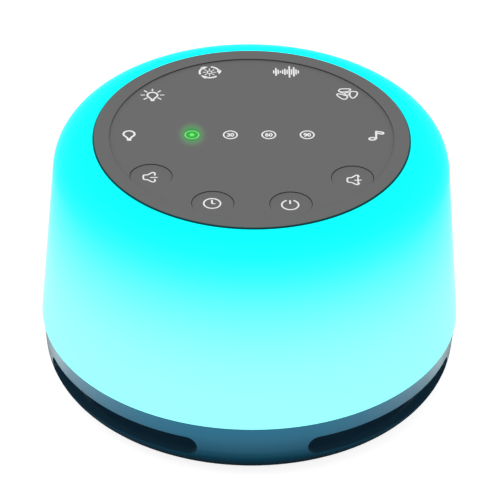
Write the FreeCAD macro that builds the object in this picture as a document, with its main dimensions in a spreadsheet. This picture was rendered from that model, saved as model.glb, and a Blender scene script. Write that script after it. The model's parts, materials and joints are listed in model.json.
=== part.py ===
"""Bedside sound machine: a glowing drum shade on a slotted base, with a round control panel in its top.

Millimetres, +Z up. The origin is the centre of the circle that the feet stand on, the front is -Y.
Angles round the object are counted from the front, and grow towards +X.
"""

import FreeCAD, Part
import Sketcher
import math
import os

DRIVING_SIZES = [
    # outside
    ("body_diameter", 105.0, "widest circle, at the seam between shade and base"),
    ("band_height", 16.6, "base ring, from its underside to the seam"),
    ("shade_height", 51.15, "shade, from the seam to its flat top"),
    ("shade_draft_angle", 4.0, "degrees that the shade's wall leans in"),
    ("shoulder_radius", 9.3, "round from the shade's wall to its top"),
    ("shade_wall", 2.2, "wall of the shade"),
    ("shade_flat", 0.75, "flat ring of the shade beside the panel"),
    ("panel_gap", 0.15, "clearance round the panel"),
    ("panel_proud", 0.45, "panel standing above the shade"),
    ("panel_thickness", 2.8, "panel at its rim"),
    ("panel_edge", 0.12, "chamfer on the panel's rim"),
    ("ledge_width", 2.05, "shade's ledge under the panel's rim"),
    ("ledge_thickness", 2.2, "that ledge's thickness"),
    ("dish_margin", 3.85, "rim of the panel outside its dish"),
    ("dish_depth", 0.35, "depth of the dish"),
    # base ring
    ("seam_setback", 0.2, "base set in from the shade at the seam"),
    ("base_taper_angle", 5.5, "degrees that the base's side leans in downwards"),
    ("base_round", 9.6, "round at the foot of the base"),
    ("base_wall", 2.2, "wall of the base"),
    ("slot_height", 5.6, "sound slot, top to bottom"),
    ("slot_middle", 9.1, "middle of the slots above the base's underside"),
    ("slot_bridge_angle", 31.0, "degrees of solid wall between two slots"),
    ("tongue_height", 3.0, "tongue of the base inside the shade"),
    ("tongue_wall", 1.2, "wall of that tongue"),
    ("tongue_gap", 0.17, "clearance between tongue and shade"),
    ("baffle_shelf", 2.75, "width of the shelf under the baffle"),
    ("shelf_thickness", 1.4, "shelves inside the base"),
    ("baffle_drop", 2.4, "baffle's underside below the seam"),
    ("baffle_thickness", 2.0, "baffle plate"),
    ("fit_gap", 0.15, "clearance of plates that drop into place"),
    ("loose_gap", 0.3, "clearance of pieces that need no fit"),
    ("cover_thickness", 2.0, "bottom cover"),
    ("cover_inset", 2.3, "bottom rim of the base outside the cover"),
    ("cover_shelf", 2.2, "shelf that the cover is pulled against"),
    # feet, posts and screws
    ("foot_proud", 0.8, "rubber foot below the base"),
    ("foot_sunk", 0.8, "rubber foot inside its pocket"),
    ("foot_radius", 4.5, "rubber foot"),
    ("foot_margin", 2.0, "rubber foot to the cover's edge"),
    ("post_inset", 7.5, "baffle's post to the cover's edge, middle of the post"),
    ("post_radius", 3.2, "baffle's post"),
    ("screw_radius", 1.3, "shank of the base screws"),
    ("head_radius", 2.4, "head of the base screws"),
    ("head_height", 1.2, "head of every screw"),
    ("screw_length", 8.0, "base and chassis screws under the head"),
    ("small_screw_radius", 0.9, "shank of the small screws"),
    ("small_head_radius", 1.7, "head of the small screws"),
    ("panel_screw_length", 7.0, "panel screws under the head"),
    ("short_screw_length", 2.6, "board and speaker screws under the head"),
    ("thread_gap", 0.04, "clearance between a screw and its hole"),
    ("shank_gap", 0.2, "clearance of a screw that passes through a plate"),
    ("tip_gap", 1.0, "blind hole beyond a screw's tip"),
    ("cone_height", 5.0, "sound spreader on the cover"),
    ("cone_radius", 14.0, "foot of the sound spreader"),
    # speaker, facing down
    ("speaker_margin", 3.9, "chassis tube to the speaker's flange"),
    ("flange_width", 5.4, "speaker's flange"),
    ("flange_thickness", 0.8, "speaker's sheet steel"),
    ("gasket_thickness", 0.5, "foam ring under the speaker"),
    ("basket_depth", 9.5, "flange to the back of the basket"),
    ("basket_back_radius", 14.3, "back of the basket"),
    ("top_plate_radius", 15.0, "steel plate on the basket"),
    ("top_plate_thickness", 2.5, "steel plate on the basket"),
    ("magnet_radius", 18.0, "ferrite ring"),
    ("magnet_bore", 9.5, "radius of the ferrite ring's hole"),
    ("magnet_height", 7.0, "ferrite ring"),
    ("yoke_radius", 16.5, "back plate"),
    ("yoke_thickness", 2.5, "back plate"),
    ("pole_radius", 6.15, "pole in the middle of the coil"),
    ("coil_radius", 6.45, "inside of the voice coil"),
    ("coil_wall", 0.4, "tube and winding"),
    ("coil_gap", 0.3, "air gap between pole, coil and top plate"),
    ("roll_width", 4.2, "surround, from the cone to the flange"),
    ("paper_thickness", 0.5, "cone, dust cap and spider"),
    ("glue_line", 0.05, "gap that glue fills"),
    ("coil_clear", 3.8, "speaker's flange to the front end of the coil"),
    ("coil_overhang", 1.2, "coil behind the top plate"),
    ("neck_step", 1.4, "front end of the coil to the neck of the cone"),
    ("cap_rise", 2.0, "dust cap in front of the coil"),
    ("surround_land", 1.4, "glued edge of the surround, inside and outside"),
    ("spider_depth", 2.0, "spider, from its rim to the coil"),
    ("terminal_height", 3.0, "speaker's terminal strip"),
    ("terminal_depth", 2.0, "speaker's terminal strip"),
    ("terminal_width", 7.0, "speaker's terminal strip"),
    # inlet
    ("socket_width", 8.94, "socket's steel shell"),
    ("socket_height", 3.26, "socket's steel shell"),
    ("socket_length", 7.3, "socket's steel shell"),
    ("socket_wall", 0.3, "socket's steel shell"),
    ("socket_sunk", 0.5, "socket's mouth inside the wall"),
    ("socket_rim", 0.3, "clearance in the wall round the socket"),
    ("tongue_width", 6.69, "insulator in the socket"),
    ("tongue_thickness", 0.7, "insulator in the socket"),
    ("tongue_length", 5.7, "insulator in the socket"),
    ("socket_seat", 2.8, "length of the socket that lies on its board"),
    ("power_board_width", 14.0, "inlet board"),
    ("power_board_length", 9.2, "inlet board"),
    ("board_thickness", 1.2, "inlet and LED boards"),
    ("standoff_height", 1.2, "pillars under the inlet board"),
    ("standoff_radius", 1.9, "pillars under the inlet board"),
    ("standoff_spacing", 10.4, "distance between those pillars"),
    # chassis and lamp
    ("chassis_wall", 1.6, "tube and flanges of the chassis"),
    ("chassis_margin", 3.8, "shade's ledge to the outside of the tube"),
    ("boss_radius", 3.0, "chassis boss for a screw"),
    ("boss_height", 9.0, "chassis boss above the flange"),
    ("boss_sunk", 0.4, "chassis boss into the tube's wall"),
    ("lead_window", 4.0, "hole in the chassis wall for the lamp's lead"),
    ("opening_margin", 4.5, "middle of the panel's screws to the hole in the chassis top"),
    ("lamp_board_margin", 1.25, "flange and LED board inside the tongue"),
    ("lamp_size", 5.0, "colour LED, along each side"),
    ("lamp_height", 1.6, "colour LED"),
    ("lamp_count", 12.0, "colour LEDs round the ring"),
    # controls
    ("legend_inset", 8.75, "symbols inside the panel's rim"),
    ("legend_angle", 36.0, "degrees between neighbouring symbols"),
    ("key_inset", 9.25, "keys inside the panel's rim"),
    ("key_radius", 5.15, "key cap"),
    ("key_gap", 0.15, "clearance round a key cap"),
    ("key_sunk", 0.2, "edge of a key below the dish"),
    ("key_hollow", 0.3, "depth of the finger hollow in a key"),
    ("key_flange", 0.6, "flange that keeps a key in, beyond the cap"),
    ("key_flange_thickness", 0.8, "that flange"),
    ("key_stem_radius", 1.9, "stem over the switch"),
    ("key_clearance", 0.1, "flange below the panel at rest"),
    ("control_board_thickness", 1.6, "control board"),
    ("control_board_inset", 0.4, "control board inside the chassis tube's outside"),
    ("control_depth", 6.6, "panel's underside to the control board"),
    ("switch_size", 6.0, "click switch, along each side"),
    ("switch_height", 3.5, "click switch housing"),
    ("plunger_radius", 1.7, "click switch plunger"),
    ("plunger_gap", 0.08, "clearance round a plunger"),
    ("plunger_proud", 0.7, "plunger above its housing"),
    ("plunger_sunk", 0.8, "plunger inside its housing"),
    ("key_travel", 0.3, "how far a key goes down"),
    ("film_thickness", 0.3, "touch film"),
    ("pad_thickness", 0.1, "copper touch pad"),
    ("pad_radius", 5.0, "copper touch pad"),
    ("seal_gap", 0.3, "light seal and film inside the shade's ledge"),
    ("window_radius", 3.9, "light well of a touch symbol, and the hole in its pad"),
    ("indicator_pitch", 9.6, "distance between the indicator windows"),
    ("indicator_row", 1.5, "indicators behind the middle of the panel"),
    ("indicator_radius", 2.4, "light well of an indicator"),
    ("panel_boss_inset", 14.85, "panel's screw bosses inside its rim"),
    ("panel_boss_radius", 2.5, "panel's screw boss"),
    ("small_lamp", 2.0, "LED on the control board, along its long side"),
    ("small_lamp_height", 0.7, "LED on the control board"),
    ("chip_height", 1.6, "chips under the control board"),
    ("capacitor_height", 6.0, "capacitor under the control board"),
    # cables
    ("ribbon_width", 8.0, "ribbon cable"),
    ("ribbon_thickness", 0.7, "ribbon cable"),
    ("ribbon_bend", 2.6, "bend of the ribbon"),
    ("ribbon_margin", 2.0, "middle of the ribbon to the chassis tube"),
    ("lead_radius", 0.6, "speaker lead"),
    ("lead_spacing", 2.4, "distance between the two leads"),
    ("lead_bend", 8.0, "bend of the leads"),
    ("plug_clear", 2.8, "ribbon above the inlet's connector"),
    ("cable_drop", 8.0, "cables under the sockets that they rise to"),
    ("plug_height", 2.6, "connector on a board"),
    ("plug_depth", 3.4, "connector on a board, across"),
    ("plug_width", 6.4, "the ribbon's connectors, along"),
    ("plug_margin", 2.3, "connectors inside the hole in the chassis top"),
]

doc = FreeCAD.newDocument("SoundMachine")
sheet = doc.addObject("Spreadsheet::Sheet", "Sizes")
for row, (alias, value, note) in enumerate(DRIVING_SIZES, start=1):
    sheet.set(f"A{row}", note)
    sheet.set(f"B{row}", str(value))
    sheet.setAlias(f"B{row}", alias)
doc.recompute()


class Size:
    """A length or angle that knows its number and the expression on the sheet that gives it."""

    def __init__(self, number, text):
        self.number = number
        self.text = text

    def joined(self, other, sign, number):
        return Size(number, f"({self.text} {sign} {as_size(other).text})")

    def __add__(self, other):
        return self.joined(other, "+", self.number + as_size(other).number)

    def __sub__(self, other):
        return self.joined(other, "-", self.number - as_size(other).number)

    def __mul__(self, other):
        return self.joined(other, "*", self.number * as_size(other).number)

    def __truediv__(self, other):
        return self.joined(other, "/", self.number / as_size(other).number)

    def __neg__(self):
        return Size(-self.number, f"(0 - {self.text})")


def as_size(value):
    return value if isinstance(value, Size) else Size(float(value), f"{float(value)}")


def cosine(angle):
    return Size(math.cos(math.radians(angle.number)), f"cos({angle.text})")


def sine(angle):
    return Size(math.sin(math.radians(angle.number)), f"sin({angle.text})")


def root(area):
    return Size(math.sqrt(area.number), f"sqrt({area.text})")


class Driving:
    """The sheet's sizes by name."""

    def __init__(self):
        for alias, _, _ in DRIVING_SIZES:
            setattr(self, alias, Size(float(sheet.get(alias)), f"Sizes.{alias}"))


s = Driving()
ZERO = as_size(0)
LAMP_LEAD_ANGLE = 45

# Heights that pieces share
base_bottom = s.foot_proud
cover_top = base_bottom + s.cover_thickness
seam = base_bottom + s.band_height
shade_top = seam + s.shade_height
panel_top = shade_top + s.panel_proud
panel_under = panel_top - s.panel_thickness
dish_floor = panel_top - s.dish_depth
slot_centre = base_bottom + s.slot_middle
baffle_under = seam - s.baffle_drop
baffle_top = baffle_under + s.baffle_thickness
board_top = panel_under - s.control_depth
board_under = board_top - s.control_board_thickness
chassis_top_under = board_under - s.chassis_wall
flange_top = baffle_top + s.chassis_wall
lamp_board_top = flange_top + s.board_thickness
film_under = panel_under - s.film_thickness
power_board_under = cover_top + s.shelf_thickness + s.standoff_height
power_board_top = power_board_under + s.board_thickness
socket_middle = power_board_top + s.socket_height / 2

# Radii that pieces share
seam_radius = s.body_diameter / 2
draft_slope = sine(s.shade_draft_angle) / cosine(s.shade_draft_angle)
shoulder_middle = shade_top - s.shoulder_radius
shoulder_start = shoulder_middle + s.shoulder_radius * sine(s.shade_draft_angle)
shoulder_start_radius = seam_radius - (shoulder_start - seam) * draft_slope
shoulder_middle_radius = shoulder_start_radius - s.shoulder_radius * cosine(s.shade_draft_angle)
panel_hole_radius = shoulder_middle_radius - s.shade_flat
panel_radius = panel_hole_radius - s.panel_gap
ledge_radius = panel_radius - s.ledge_width
dish_radius = panel_radius - s.dish_margin
legend_circle = panel_radius - s.legend_inset
key_circle = panel_radius - s.key_inset
panel_boss_circle = panel_radius - s.panel_boss_inset
key_hole_radius = s.key_radius + s.key_gap
key_flange_radius = s.key_radius + s.key_flange
chassis_radius = ledge_radius - s.chassis_margin
chassis_bore = chassis_radius - s.chassis_wall
chassis_opening = panel_boss_circle - s.opening_margin
control_board_radius = chassis_radius - s.control_board_inset
small_pilot = s.small_screw_radius + s.thread_gap
small_passage = s.small_screw_radius + s.shank_gap
chassis_screw_circle = chassis_radius + s.boss_radius - s.boss_sunk
tongue_radius = seam_radius - s.shade_wall - s.tongue_height * draft_slope - s.tongue_gap
tongue_bore = tongue_radius - s.tongue_wall
baffle_radius = tongue_bore - s.fit_gap
lamp_board_radius = tongue_bore - s.lamp_board_margin
lamp_board_bore = chassis_screw_circle + s.boss_radius + s.loose_gap
lamp_circle = (lamp_board_radius + lamp_board_bore) / 2
base_side_radius = seam_radius - s.seam_setback
taper_slope = sine(s.base_taper_angle) / cosine(s.base_taper_angle)
round_middle = base_bottom + s.base_round
round_start = round_middle - s.base_round * sine(s.base_taper_angle)
round_start_radius = base_side_radius - (seam - round_start) * taper_slope
round_middle_radius = round_start_radius - s.base_round * cosine(s.base_taper_angle)
cover_hole_radius = round_middle_radius - s.cover_inset
cover_radius = cover_hole_radius - s.fit_gap
foot_circle = cover_radius - s.foot_radius - s.foot_margin
post_circle = cover_radius - s.post_inset
seal_radius = ledge_radius - s.seal_gap
lamp_lead_circle = lamp_board_bore + s.lead_radius * 3

# Speaker levels, from the baffle up
gasket_top = baffle_top + s.gasket_thickness
flange_back = gasket_top + s.flange_thickness
basket_back = gasket_top + s.basket_depth
top_plate_back = basket_back + s.top_plate_thickness
magnet_back = top_plate_back + s.magnet_height
yoke_back = magnet_back + s.yoke_thickness
coil_outside = s.coil_radius + s.coil_wall
coil_front = flange_back + s.coil_clear
coil_back = top_plate_back + s.coil_overhang
cone_front = gasket_top
cone_neck = coil_front + s.neck_step
back_inside = basket_back - s.flange_thickness
flange_radius = chassis_bore - s.speaker_margin
cutout_radius = flange_radius - s.flange_width
cone_edge_radius = cutout_radius - s.roll_width
surround_edge = cutout_radius + s.surround_land
speaker_circle = (surround_edge + flange_radius) / 2
gasket_bore = surround_edge + s.loose_gap
terminal_across = flange_radius - s.terminal_depth

# Places along the rear for the inlet, its board and the ribbon
socket_mouth = base_side_radius - (seam - socket_middle) * taper_slope - s.socket_sunk
power_board_edge = socket_mouth - s.socket_length + s.socket_seat
power_board_row = power_board_edge - s.power_board_length + s.standoff_radius + s.loose_gap
power_plug_row = power_board_edge - s.power_board_length / 2 - s.loose_gap * 4
ribbon_rise = chassis_bore - s.ribbon_margin
plug_reach = chassis_opening - s.plug_depth / 2 - s.plug_margin


def bind(thing, path, value):
    thing.setExpression(path, as_size(value).text)


def origin_feature(body, role):
    return next(f for f in body.Origin.OriginFeatures if f.Role == role)


def new_body(label):
    body = doc.addObject("PartDesign::Body", label)
    body.Label = label
    return body


def new_sketch(body, role="XY_Plane", lift=None, turn=None, shift=None):
    """A sketch on one of the body's own planes, lifted off it, turned about its upright axis or shifted."""
    sketch = body.newObject("Sketcher::SketchObject", "Sketch")
    sketch.AttachmentSupport = [(origin_feature(body, role), "")]
    sketch.MapMode = "FlatFace"
    if turn is not None:
        spin = FreeCAD.Rotation(FreeCAD.Vector(0, 1, 0), turn.number)
        sketch.AttachmentOffset = FreeCAD.Placement(FreeCAD.Vector(), spin)
        bind(sketch, "AttachmentOffset.Rotation.Angle", turn)
    if lift is not None:
        bind(sketch, "AttachmentOffset.Base.z", lift)
    if shift is not None:
        bind(sketch, "AttachmentOffset.Base.x", shift)
    return sketch


def hold_point(sketch, curve, end, across, up):
    """Holds a curve's end at a place counted from the sketch's origin."""
    for kind, value in (("DistanceX", across), ("DistanceY", up)):
        made = sketch.addConstraint(Sketcher.Constraint(kind, -1, 1, curve, end, value.number))
        bind(sketch, f"Constraints[{made}]", value)


def hold_radius(sketch, curve, radius):
    made = sketch.addConstraint(Sketcher.Constraint("Radius", curve, radius.number))
    bind(sketch, f"Constraints[{made}]", radius)


def arc_between(start, end, radius, bulge):
    """The arc from start to end, bulging to the right of that way where bulge is 1, and left where -1.
    Gives the curve and whether it runs from start to end anticlockwise."""
    way = end - start
    right = FreeCAD.Vector(way.y, -way.x, 0).normalize()
    sagitta_side = math.sqrt(max(radius ** 2 - (way.Length / 2) ** 2, 0))
    middle = (start + end) / 2 - right * bulge * sagitta_side
    first, last = (start, end) if bulge > 0 else (end, start)
    angles = [math.atan2((p - middle).y, (p - middle).x) for p in (first, last)]
    circle = Part.Circle(middle, FreeCAD.Vector(0, 0, 1), radius)
    return Part.ArcOfCircle(circle, angles[0], angles[1]), bulge > 0


def draw_outline(sketch, corners, arcs=None):
    """A closed outline through corners, each (across, up). arcs gives, for the side that leaves a corner,
    its radius and its bulge: 1 to the right of the way, -1 to the left."""
    arcs = arcs or {}
    corners = [(as_size(across), as_size(up)) for across, up in corners]
    points = [FreeCAD.Vector(across.number, up.number, 0) for across, up in corners]
    ends = []
    for i, start in enumerate(points):
        end = points[(i + 1) % len(points)]
        if i in arcs:
            curve, forward = arc_between(start, end, arcs[i][0].number, arcs[i][1])
            made = sketch.addGeometry(curve, False)
            ends.append((made, 1, 2) if forward else (made, 2, 1))
            hold_radius(sketch, made, arcs[i][0])
        else:
            ends.append((sketch.addGeometry(Part.LineSegment(start, end), False), 1, 2))
    for i, (curve, start, _) in enumerate(ends):
        before, _, before_end = ends[i - 1]
        sketch.addConstraint(Sketcher.Constraint("Coincident", before, before_end, curve, start))
        hold_point(sketch, curve, start, *corners[i])


def draw_circle(sketch, across, up, radius):
    across, up, radius = as_size(across), as_size(up), as_size(radius)
    middle = FreeCAD.Vector(across.number, up.number, 0)
    curve = sketch.addGeometry(Part.Circle(middle, FreeCAD.Vector(0, 0, 1), radius.number), False)
    hold_point(sketch, curve, 3, across, up)
    hold_radius(sketch, curve, radius)


def draw_box(sketch, across, up, width, height):
    across, up, width, height = (as_size(v) for v in (across, up, width, height))
    left, right = across - width / 2, across + width / 2
    low, high = up - height / 2, up + height / 2
    draw_outline(sketch, [(left, low), (right, low), (right, high), (left, high)])


def draw_round_ended(sketch, across, up, width, height):
    """A box of width by height whose two ends are half circles."""
    across, up, width, height = (as_size(v) for v in (across, up, width, height))
    radius = height / 2
    reach = (width - height) / 2
    ends = []
    for side, turn in ((1, -90), (-1, 90)):
        middle = FreeCAD.Vector(across.number + side * reach.number, up.number, 0)
        circle = Part.Circle(middle, FreeCAD.Vector(0, 0, 1), radius.number)
        arc = Part.ArcOfCircle(circle, math.radians(turn), math.radians(turn + 180))
        curve = sketch.addGeometry(arc, False)
        hold_point(sketch, curve, 3, across + reach * side, up)
        hold_radius(sketch, curve, radius)
        for end in (1, 2):
            sketch.addConstraint(Sketcher.Constraint("Vertical", curve, end, curve, 3))
        ends.append((curve, middle))
    (right, right_middle), (left, left_middle) = ends
    rise = FreeCAD.Vector(0, radius.number, 0)
    top = sketch.addGeometry(Part.LineSegment(right_middle + rise, left_middle + rise), False)
    low = sketch.addGeometry(Part.LineSegment(left_middle - rise, right_middle - rise), False)
    joins = [(top, 1, right, 2), (top, 2, left, 1), (low, 1, left, 2), (low, 2, right, 1)]
    for join in joins:
        sketch.addConstraint(Sketcher.Constraint("Coincident", *join))


def turned(body, corners, arcs=None, shift=None):
    """The body's solid of revolution about the upright axis, or about one shifted across from it."""
    sketch = new_sketch(body, "XZ_Plane", shift=shift)
    draw_outline(sketch, corners, arcs)
    feature = body.newObject("PartDesign::Revolution", "Turned")
    feature.Profile = sketch
    feature.ReferenceAxis = (sketch, ["V_Axis"])
    feature.Angle = 360
    return feature


def padded(body, sketch, length):
    feature = body.newObject("PartDesign::Pad", "Pad")
    feature.Profile = sketch
    bind(feature, "Length", length)
    return feature


def pocketed(body, sketch, length, forward=False):
    """Cuts from the sketch away from its normal, or along it where forward."""
    feature = body.newObject("PartDesign::Pocket", "Pocket")
    feature.Profile = sketch
    feature.Reversed = forward
    bind(feature, "Length", length)
    return feature


def repeated(body, features, count):
    """Copies features evenly round the upright axis. A number of copies is kept whole."""
    pattern = body.newObject("PartDesign::PolarPattern", "Round")
    pattern.Originals = features
    pattern.Axis = (origin_feature(body, "Z_Axis"), [""])
    pattern.Angle = 360
    if isinstance(count, Size):
        bind(pattern, "Occurrences", count)
    else:
        pattern.Occurrences = count
    body.Tip = pattern
    return pattern


def plate(label, radius, under, thickness, bore=None):
    """A flat round plate, with a round hole in its middle where bore is given."""
    body = new_body(label)
    sketch = new_sketch(body, lift=under)
    draw_circle(sketch, 0, 0, radius)
    if bore is not None:
        draw_circle(sketch, 0, 0, bore)
    padded(body, sketch, thickness)
    return body


def on_circle(radius, angle):
    """The place at an angle from the front on a circle about the middle."""
    angle = as_size(angle)
    return radius * sine(angle), -(radius * cosine(angle))


def screws(label, circle, first_angle, count, head_face, length, shank, head, up=1):
    """Screws on a circle, their heads' inner faces at one height, pointing up or, with up -1, down."""
    body = new_body(label)
    tip = head_face + length * up
    back = head_face - s.head_height * up
    corners = [(ZERO, back), (head, back), (head, head_face), (shank, head_face), (shank, tip), (ZERO, tip)]
    screw = turned(body, corners, shift=circle)
    repeated(body, [screw], count)
    turn_body(body, as_size(first_angle) - 90)
    return body


def turn_body(body, angle):
    spin = FreeCAD.Rotation(FreeCAD.Vector(0, 0, 1), angle.number)
    body.Placement = FreeCAD.Placement(FreeCAD.Vector(), spin)
    bind(body, "Placement.Rotation.Angle", angle)


def drilled(body, circle, first_angle, count, radius, top, depth):
    """Round holes on a circle, cut down from a height."""
    sketch = new_sketch(body, lift=top)
    draw_circle(sketch, *on_circle(circle, first_angle), radius)
    hole = pocketed(body, sketch, depth)
    return repeated(body, [hole], count)


def make_feet():
    body = new_body("rubber_feet")
    sketch = new_sketch(body)
    draw_circle(sketch, *on_circle(foot_circle, 0), s.foot_radius)
    foot = padded(body, sketch, s.foot_proud + s.foot_sunk)
    repeated(body, [foot], 4)


def make_bottom_cover():
    """Cover with pockets for the feet, sunk screw holes and a low cone that spreads the sound."""
    body = new_body("bottom_cover")
    top = cover_top + s.cone_height
    corners = [
        (ZERO, base_bottom), (cover_radius, base_bottom), (cover_radius, cover_top),
        (s.cone_radius, cover_top), (ZERO, top),
    ]
    turned(body, corners, {3: (s.cone_radius * 1.6, -1)})
    pocket_top = base_bottom + s.foot_sunk
    drilled(body, foot_circle, 0, 4, s.foot_radius + s.fit_gap, pocket_top, s.foot_sunk)
    drilled(body, post_circle, 45, 4, s.head_radius + s.fit_gap, base_bottom + s.head_height, s.head_height)
    drilled(body, post_circle, 45, 4, s.screw_radius + s.fit_gap, cover_top, s.cover_thickness)


def make_base_housing():
    """Ring with a tapered, rounded side, four sound slots, a tongue for the shade and two shelves."""
    body = new_body("base_housing")
    shelf_top = cover_top + s.shelf_thickness
    inner_round = s.base_round - s.base_wall
    depth = round_middle - shelf_top
    low_inside = round_middle_radius + root(inner_round * inner_round - depth * depth)
    inner_start = round_middle - inner_round * sine(s.base_taper_angle)
    inner_start_radius = round_middle_radius + inner_round * cosine(s.base_taper_angle)
    shelf_under = baffle_under - s.shelf_thickness
    high_inside = inner_start_radius + (shelf_under - inner_start) * taper_slope
    shelf_bore = tongue_bore - s.baffle_shelf
    tongue_top = seam + s.tongue_height
    corners = [
        (cover_hole_radius, base_bottom), (round_middle_radius, base_bottom),
        (round_start_radius, round_start), (base_side_radius, seam),
        (tongue_radius, seam), (tongue_radius, tongue_top), (tongue_bore, tongue_top),
        (tongue_bore, baffle_under), (shelf_bore, baffle_under), (shelf_bore, shelf_under),
        (high_inside, shelf_under), (inner_start_radius, inner_start),
        (low_inside, shelf_top), (cover_hole_radius - s.cover_shelf, shelf_top),
        (cover_hole_radius - s.cover_shelf, cover_top), (cover_hole_radius, cover_top),
    ]
    turned(body, corners, {1: (s.base_round, 1), 11: (inner_round, -1)})

    end_round = s.slot_height / 2
    end_turn = Size(
        math.degrees(end_round.number / base_side_radius.number),
        f"({end_round.text} / {base_side_radius.text} * 57.29578)",
    )
    straight = as_size(90) - s.slot_bridge_angle - end_turn * 2
    middle_turn = as_size(45)
    sketch = new_sketch(body, "XZ_Plane", turn=middle_turn)
    draw_box(sketch, seam_radius, slot_centre, s.base_wall * 6, s.slot_height)
    groove = body.newObject("PartDesign::Groove", "SlotMiddle")
    groove.Profile = sketch
    groove.ReferenceAxis = (sketch, ["V_Axis"])
    groove.Midplane = True
    bind(groove, "Angle", straight)
    features = [groove]
    for side in (-1, 1):
        sketch = new_sketch(body, "XZ_Plane", turn=middle_turn - 90 + straight * side / 2)
        draw_circle(sketch, ZERO, slot_centre, end_round)
        features.append(pocketed(body, sketch, seam_radius + 1, forward=True))
    repeated(body, features, 4)

    sketch = new_sketch(body, "XZ_Plane", lift=-(seam_radius + 1))
    width = s.socket_width + s.socket_rim * 2
    draw_round_ended(sketch, 0, socket_middle, width, s.socket_height + s.socket_rim * 2)
    pocketed(body, sketch, s.base_wall * 3, forward=True)

    sketch = new_sketch(body, lift=shelf_top)
    for side in (-1, 1):
        draw_circle(sketch, s.standoff_spacing * side / 2, power_board_row, s.standoff_radius)
    padded(body, sketch, s.standoff_height)
    sketch = new_sketch(body, lift=power_board_under)
    for side in (-1, 1):
        draw_circle(sketch, s.standoff_spacing * side / 2, power_board_row, small_pilot)
    pocketed(body, sketch, s.standoff_height + s.shelf_thickness)


def make_speaker_baffle():
    """Plate that carries the speaker, on four posts that the base screws pull to the cover."""
    body = plate("speaker_baffle", baffle_radius, baffle_under, s.baffle_thickness, cutout_radius)
    sketch = new_sketch(body, lift=cover_top)
    draw_circle(sketch, *on_circle(post_circle, 45), s.post_radius)
    repeated(body, [padded(body, sketch, baffle_under - cover_top)], 4)
    pilot = s.screw_radius + s.thread_gap
    depth = s.screw_length - s.cover_thickness + s.tip_gap
    drilled(body, post_circle, 45, 4, pilot, cover_top + depth, depth)
    drilled(body, chassis_screw_circle, 0, 4, s.screw_radius + s.fit_gap, baffle_top, s.baffle_thickness)
    drilled(body, speaker_circle, 45, 4, small_pilot, baffle_top, s.baffle_thickness)
    sketch = new_sketch(body, lift=baffle_top)
    draw_box(sketch, 0, ribbon_rise, s.ribbon_width + s.loose_gap * 3, s.ribbon_thickness + s.loose_gap * 3)
    pocketed(body, sketch, s.baffle_thickness)


def make_speaker():
    """A small round speaker facing down: fixed frame and magnet, and a cone that moves up and down."""
    gasket_radius = flange_radius - s.loose_gap * 2
    body = plate("speaker_gasket", gasket_radius, baffle_top, s.gasket_thickness, gasket_bore)
    drilled(body, speaker_circle, 45, 4, small_passage, gasket_top, s.gasket_thickness)

    body = new_body("speaker_basket")
    sheet_steel = s.flange_thickness
    coil_hole = coil_outside + s.coil_gap
    corners = [
        (cutout_radius, gasket_top), (flange_radius, gasket_top), (flange_radius, flange_back),
        (cutout_radius + sheet_steel, flange_back), (s.basket_back_radius, back_inside),
        (s.basket_back_radius, basket_back), (coil_hole, basket_back), (coil_hole, back_inside),
        (s.basket_back_radius - sheet_steel, back_inside), (cutout_radius, flange_back),
    ]
    turned(body, corners)
    drilled(body, speaker_circle, 45, 4, small_passage, flange_back, sheet_steel)
    sketch = new_sketch(body, "XZ_Plane", turn=as_size(-90))
    window_rise = (flange_back + basket_back) / 2
    draw_round_ended(sketch, 0, window_rise, s.basket_back_radius, s.basket_depth * 0.4)
    window = pocketed(body, sketch, flange_radius, forward=True)
    repeated(body, [window], 4)

    screws("speaker_screws", speaker_circle, 45, 4, flange_back, s.short_screw_length,
           s.small_screw_radius, s.small_head_radius, up=-1)
    plate("speaker_top_plate", s.top_plate_radius, basket_back, s.top_plate_thickness, coil_hole)
    plate("speaker_magnet", s.magnet_radius, top_plate_back, s.magnet_height, s.magnet_bore)
    body = new_body("speaker_yoke")
    turned(body, [
        (ZERO, basket_back), (s.pole_radius, basket_back), (s.pole_radius, magnet_back),
        (s.yoke_radius, magnet_back), (s.yoke_radius, yoke_back), (ZERO, yoke_back),
    ])

    plate("voice_coil", coil_outside, coil_front, coil_back - coil_front, s.coil_radius)
    paper = s.paper_thickness
    body = new_body("speaker_cone")
    turned(body, [
        (coil_outside, cone_neck), (cone_edge_radius, cone_front), (cone_edge_radius, cone_front + paper),
        (coil_outside, cone_neck + paper * 1.4),
    ])
    body = new_body("dust_cap")
    dome = coil_front - s.cap_rise
    turned(body, [
        (ZERO, dome), (coil_outside, coil_front - paper), (coil_outside, coil_front), (ZERO, dome + paper),
    ], {0: (coil_outside * 1.9, 1), 2: (coil_outside * 1.9, -1)})
    body = new_body("speaker_surround")
    roll_start = cone_edge_radius + s.loose_gap
    roll_end = cutout_radius - s.loose_gap
    roll = (roll_end - roll_start) * 0.55
    inner_edge = cone_edge_radius - s.surround_land
    across = [inner_edge, roll_start, roll_end, surround_edge]
    low_side = [(place, baffle_top) for place in across]
    high_side = [(place, gasket_top) for place in reversed(across)]
    turned(body, low_side + high_side, {1: (roll, 1), 5: (roll, -1)})
    body = new_body("speaker_spider")
    glued = coil_outside + s.glue_line
    rim = s.basket_back_radius - sheet_steel - s.loose_gap * 2
    low = back_inside - s.spider_depth
    turned(body, [
        (glued, low), (rim, low), (rim, back_inside), (rim - paper * 2, back_inside),
        (rim - paper * 2, low + paper), (glued, low + paper),
    ])
    box_piece("speaker_terminal", terminal_across, ZERO, s.terminal_depth, s.terminal_width, flange_back,
              s.terminal_height)


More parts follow.
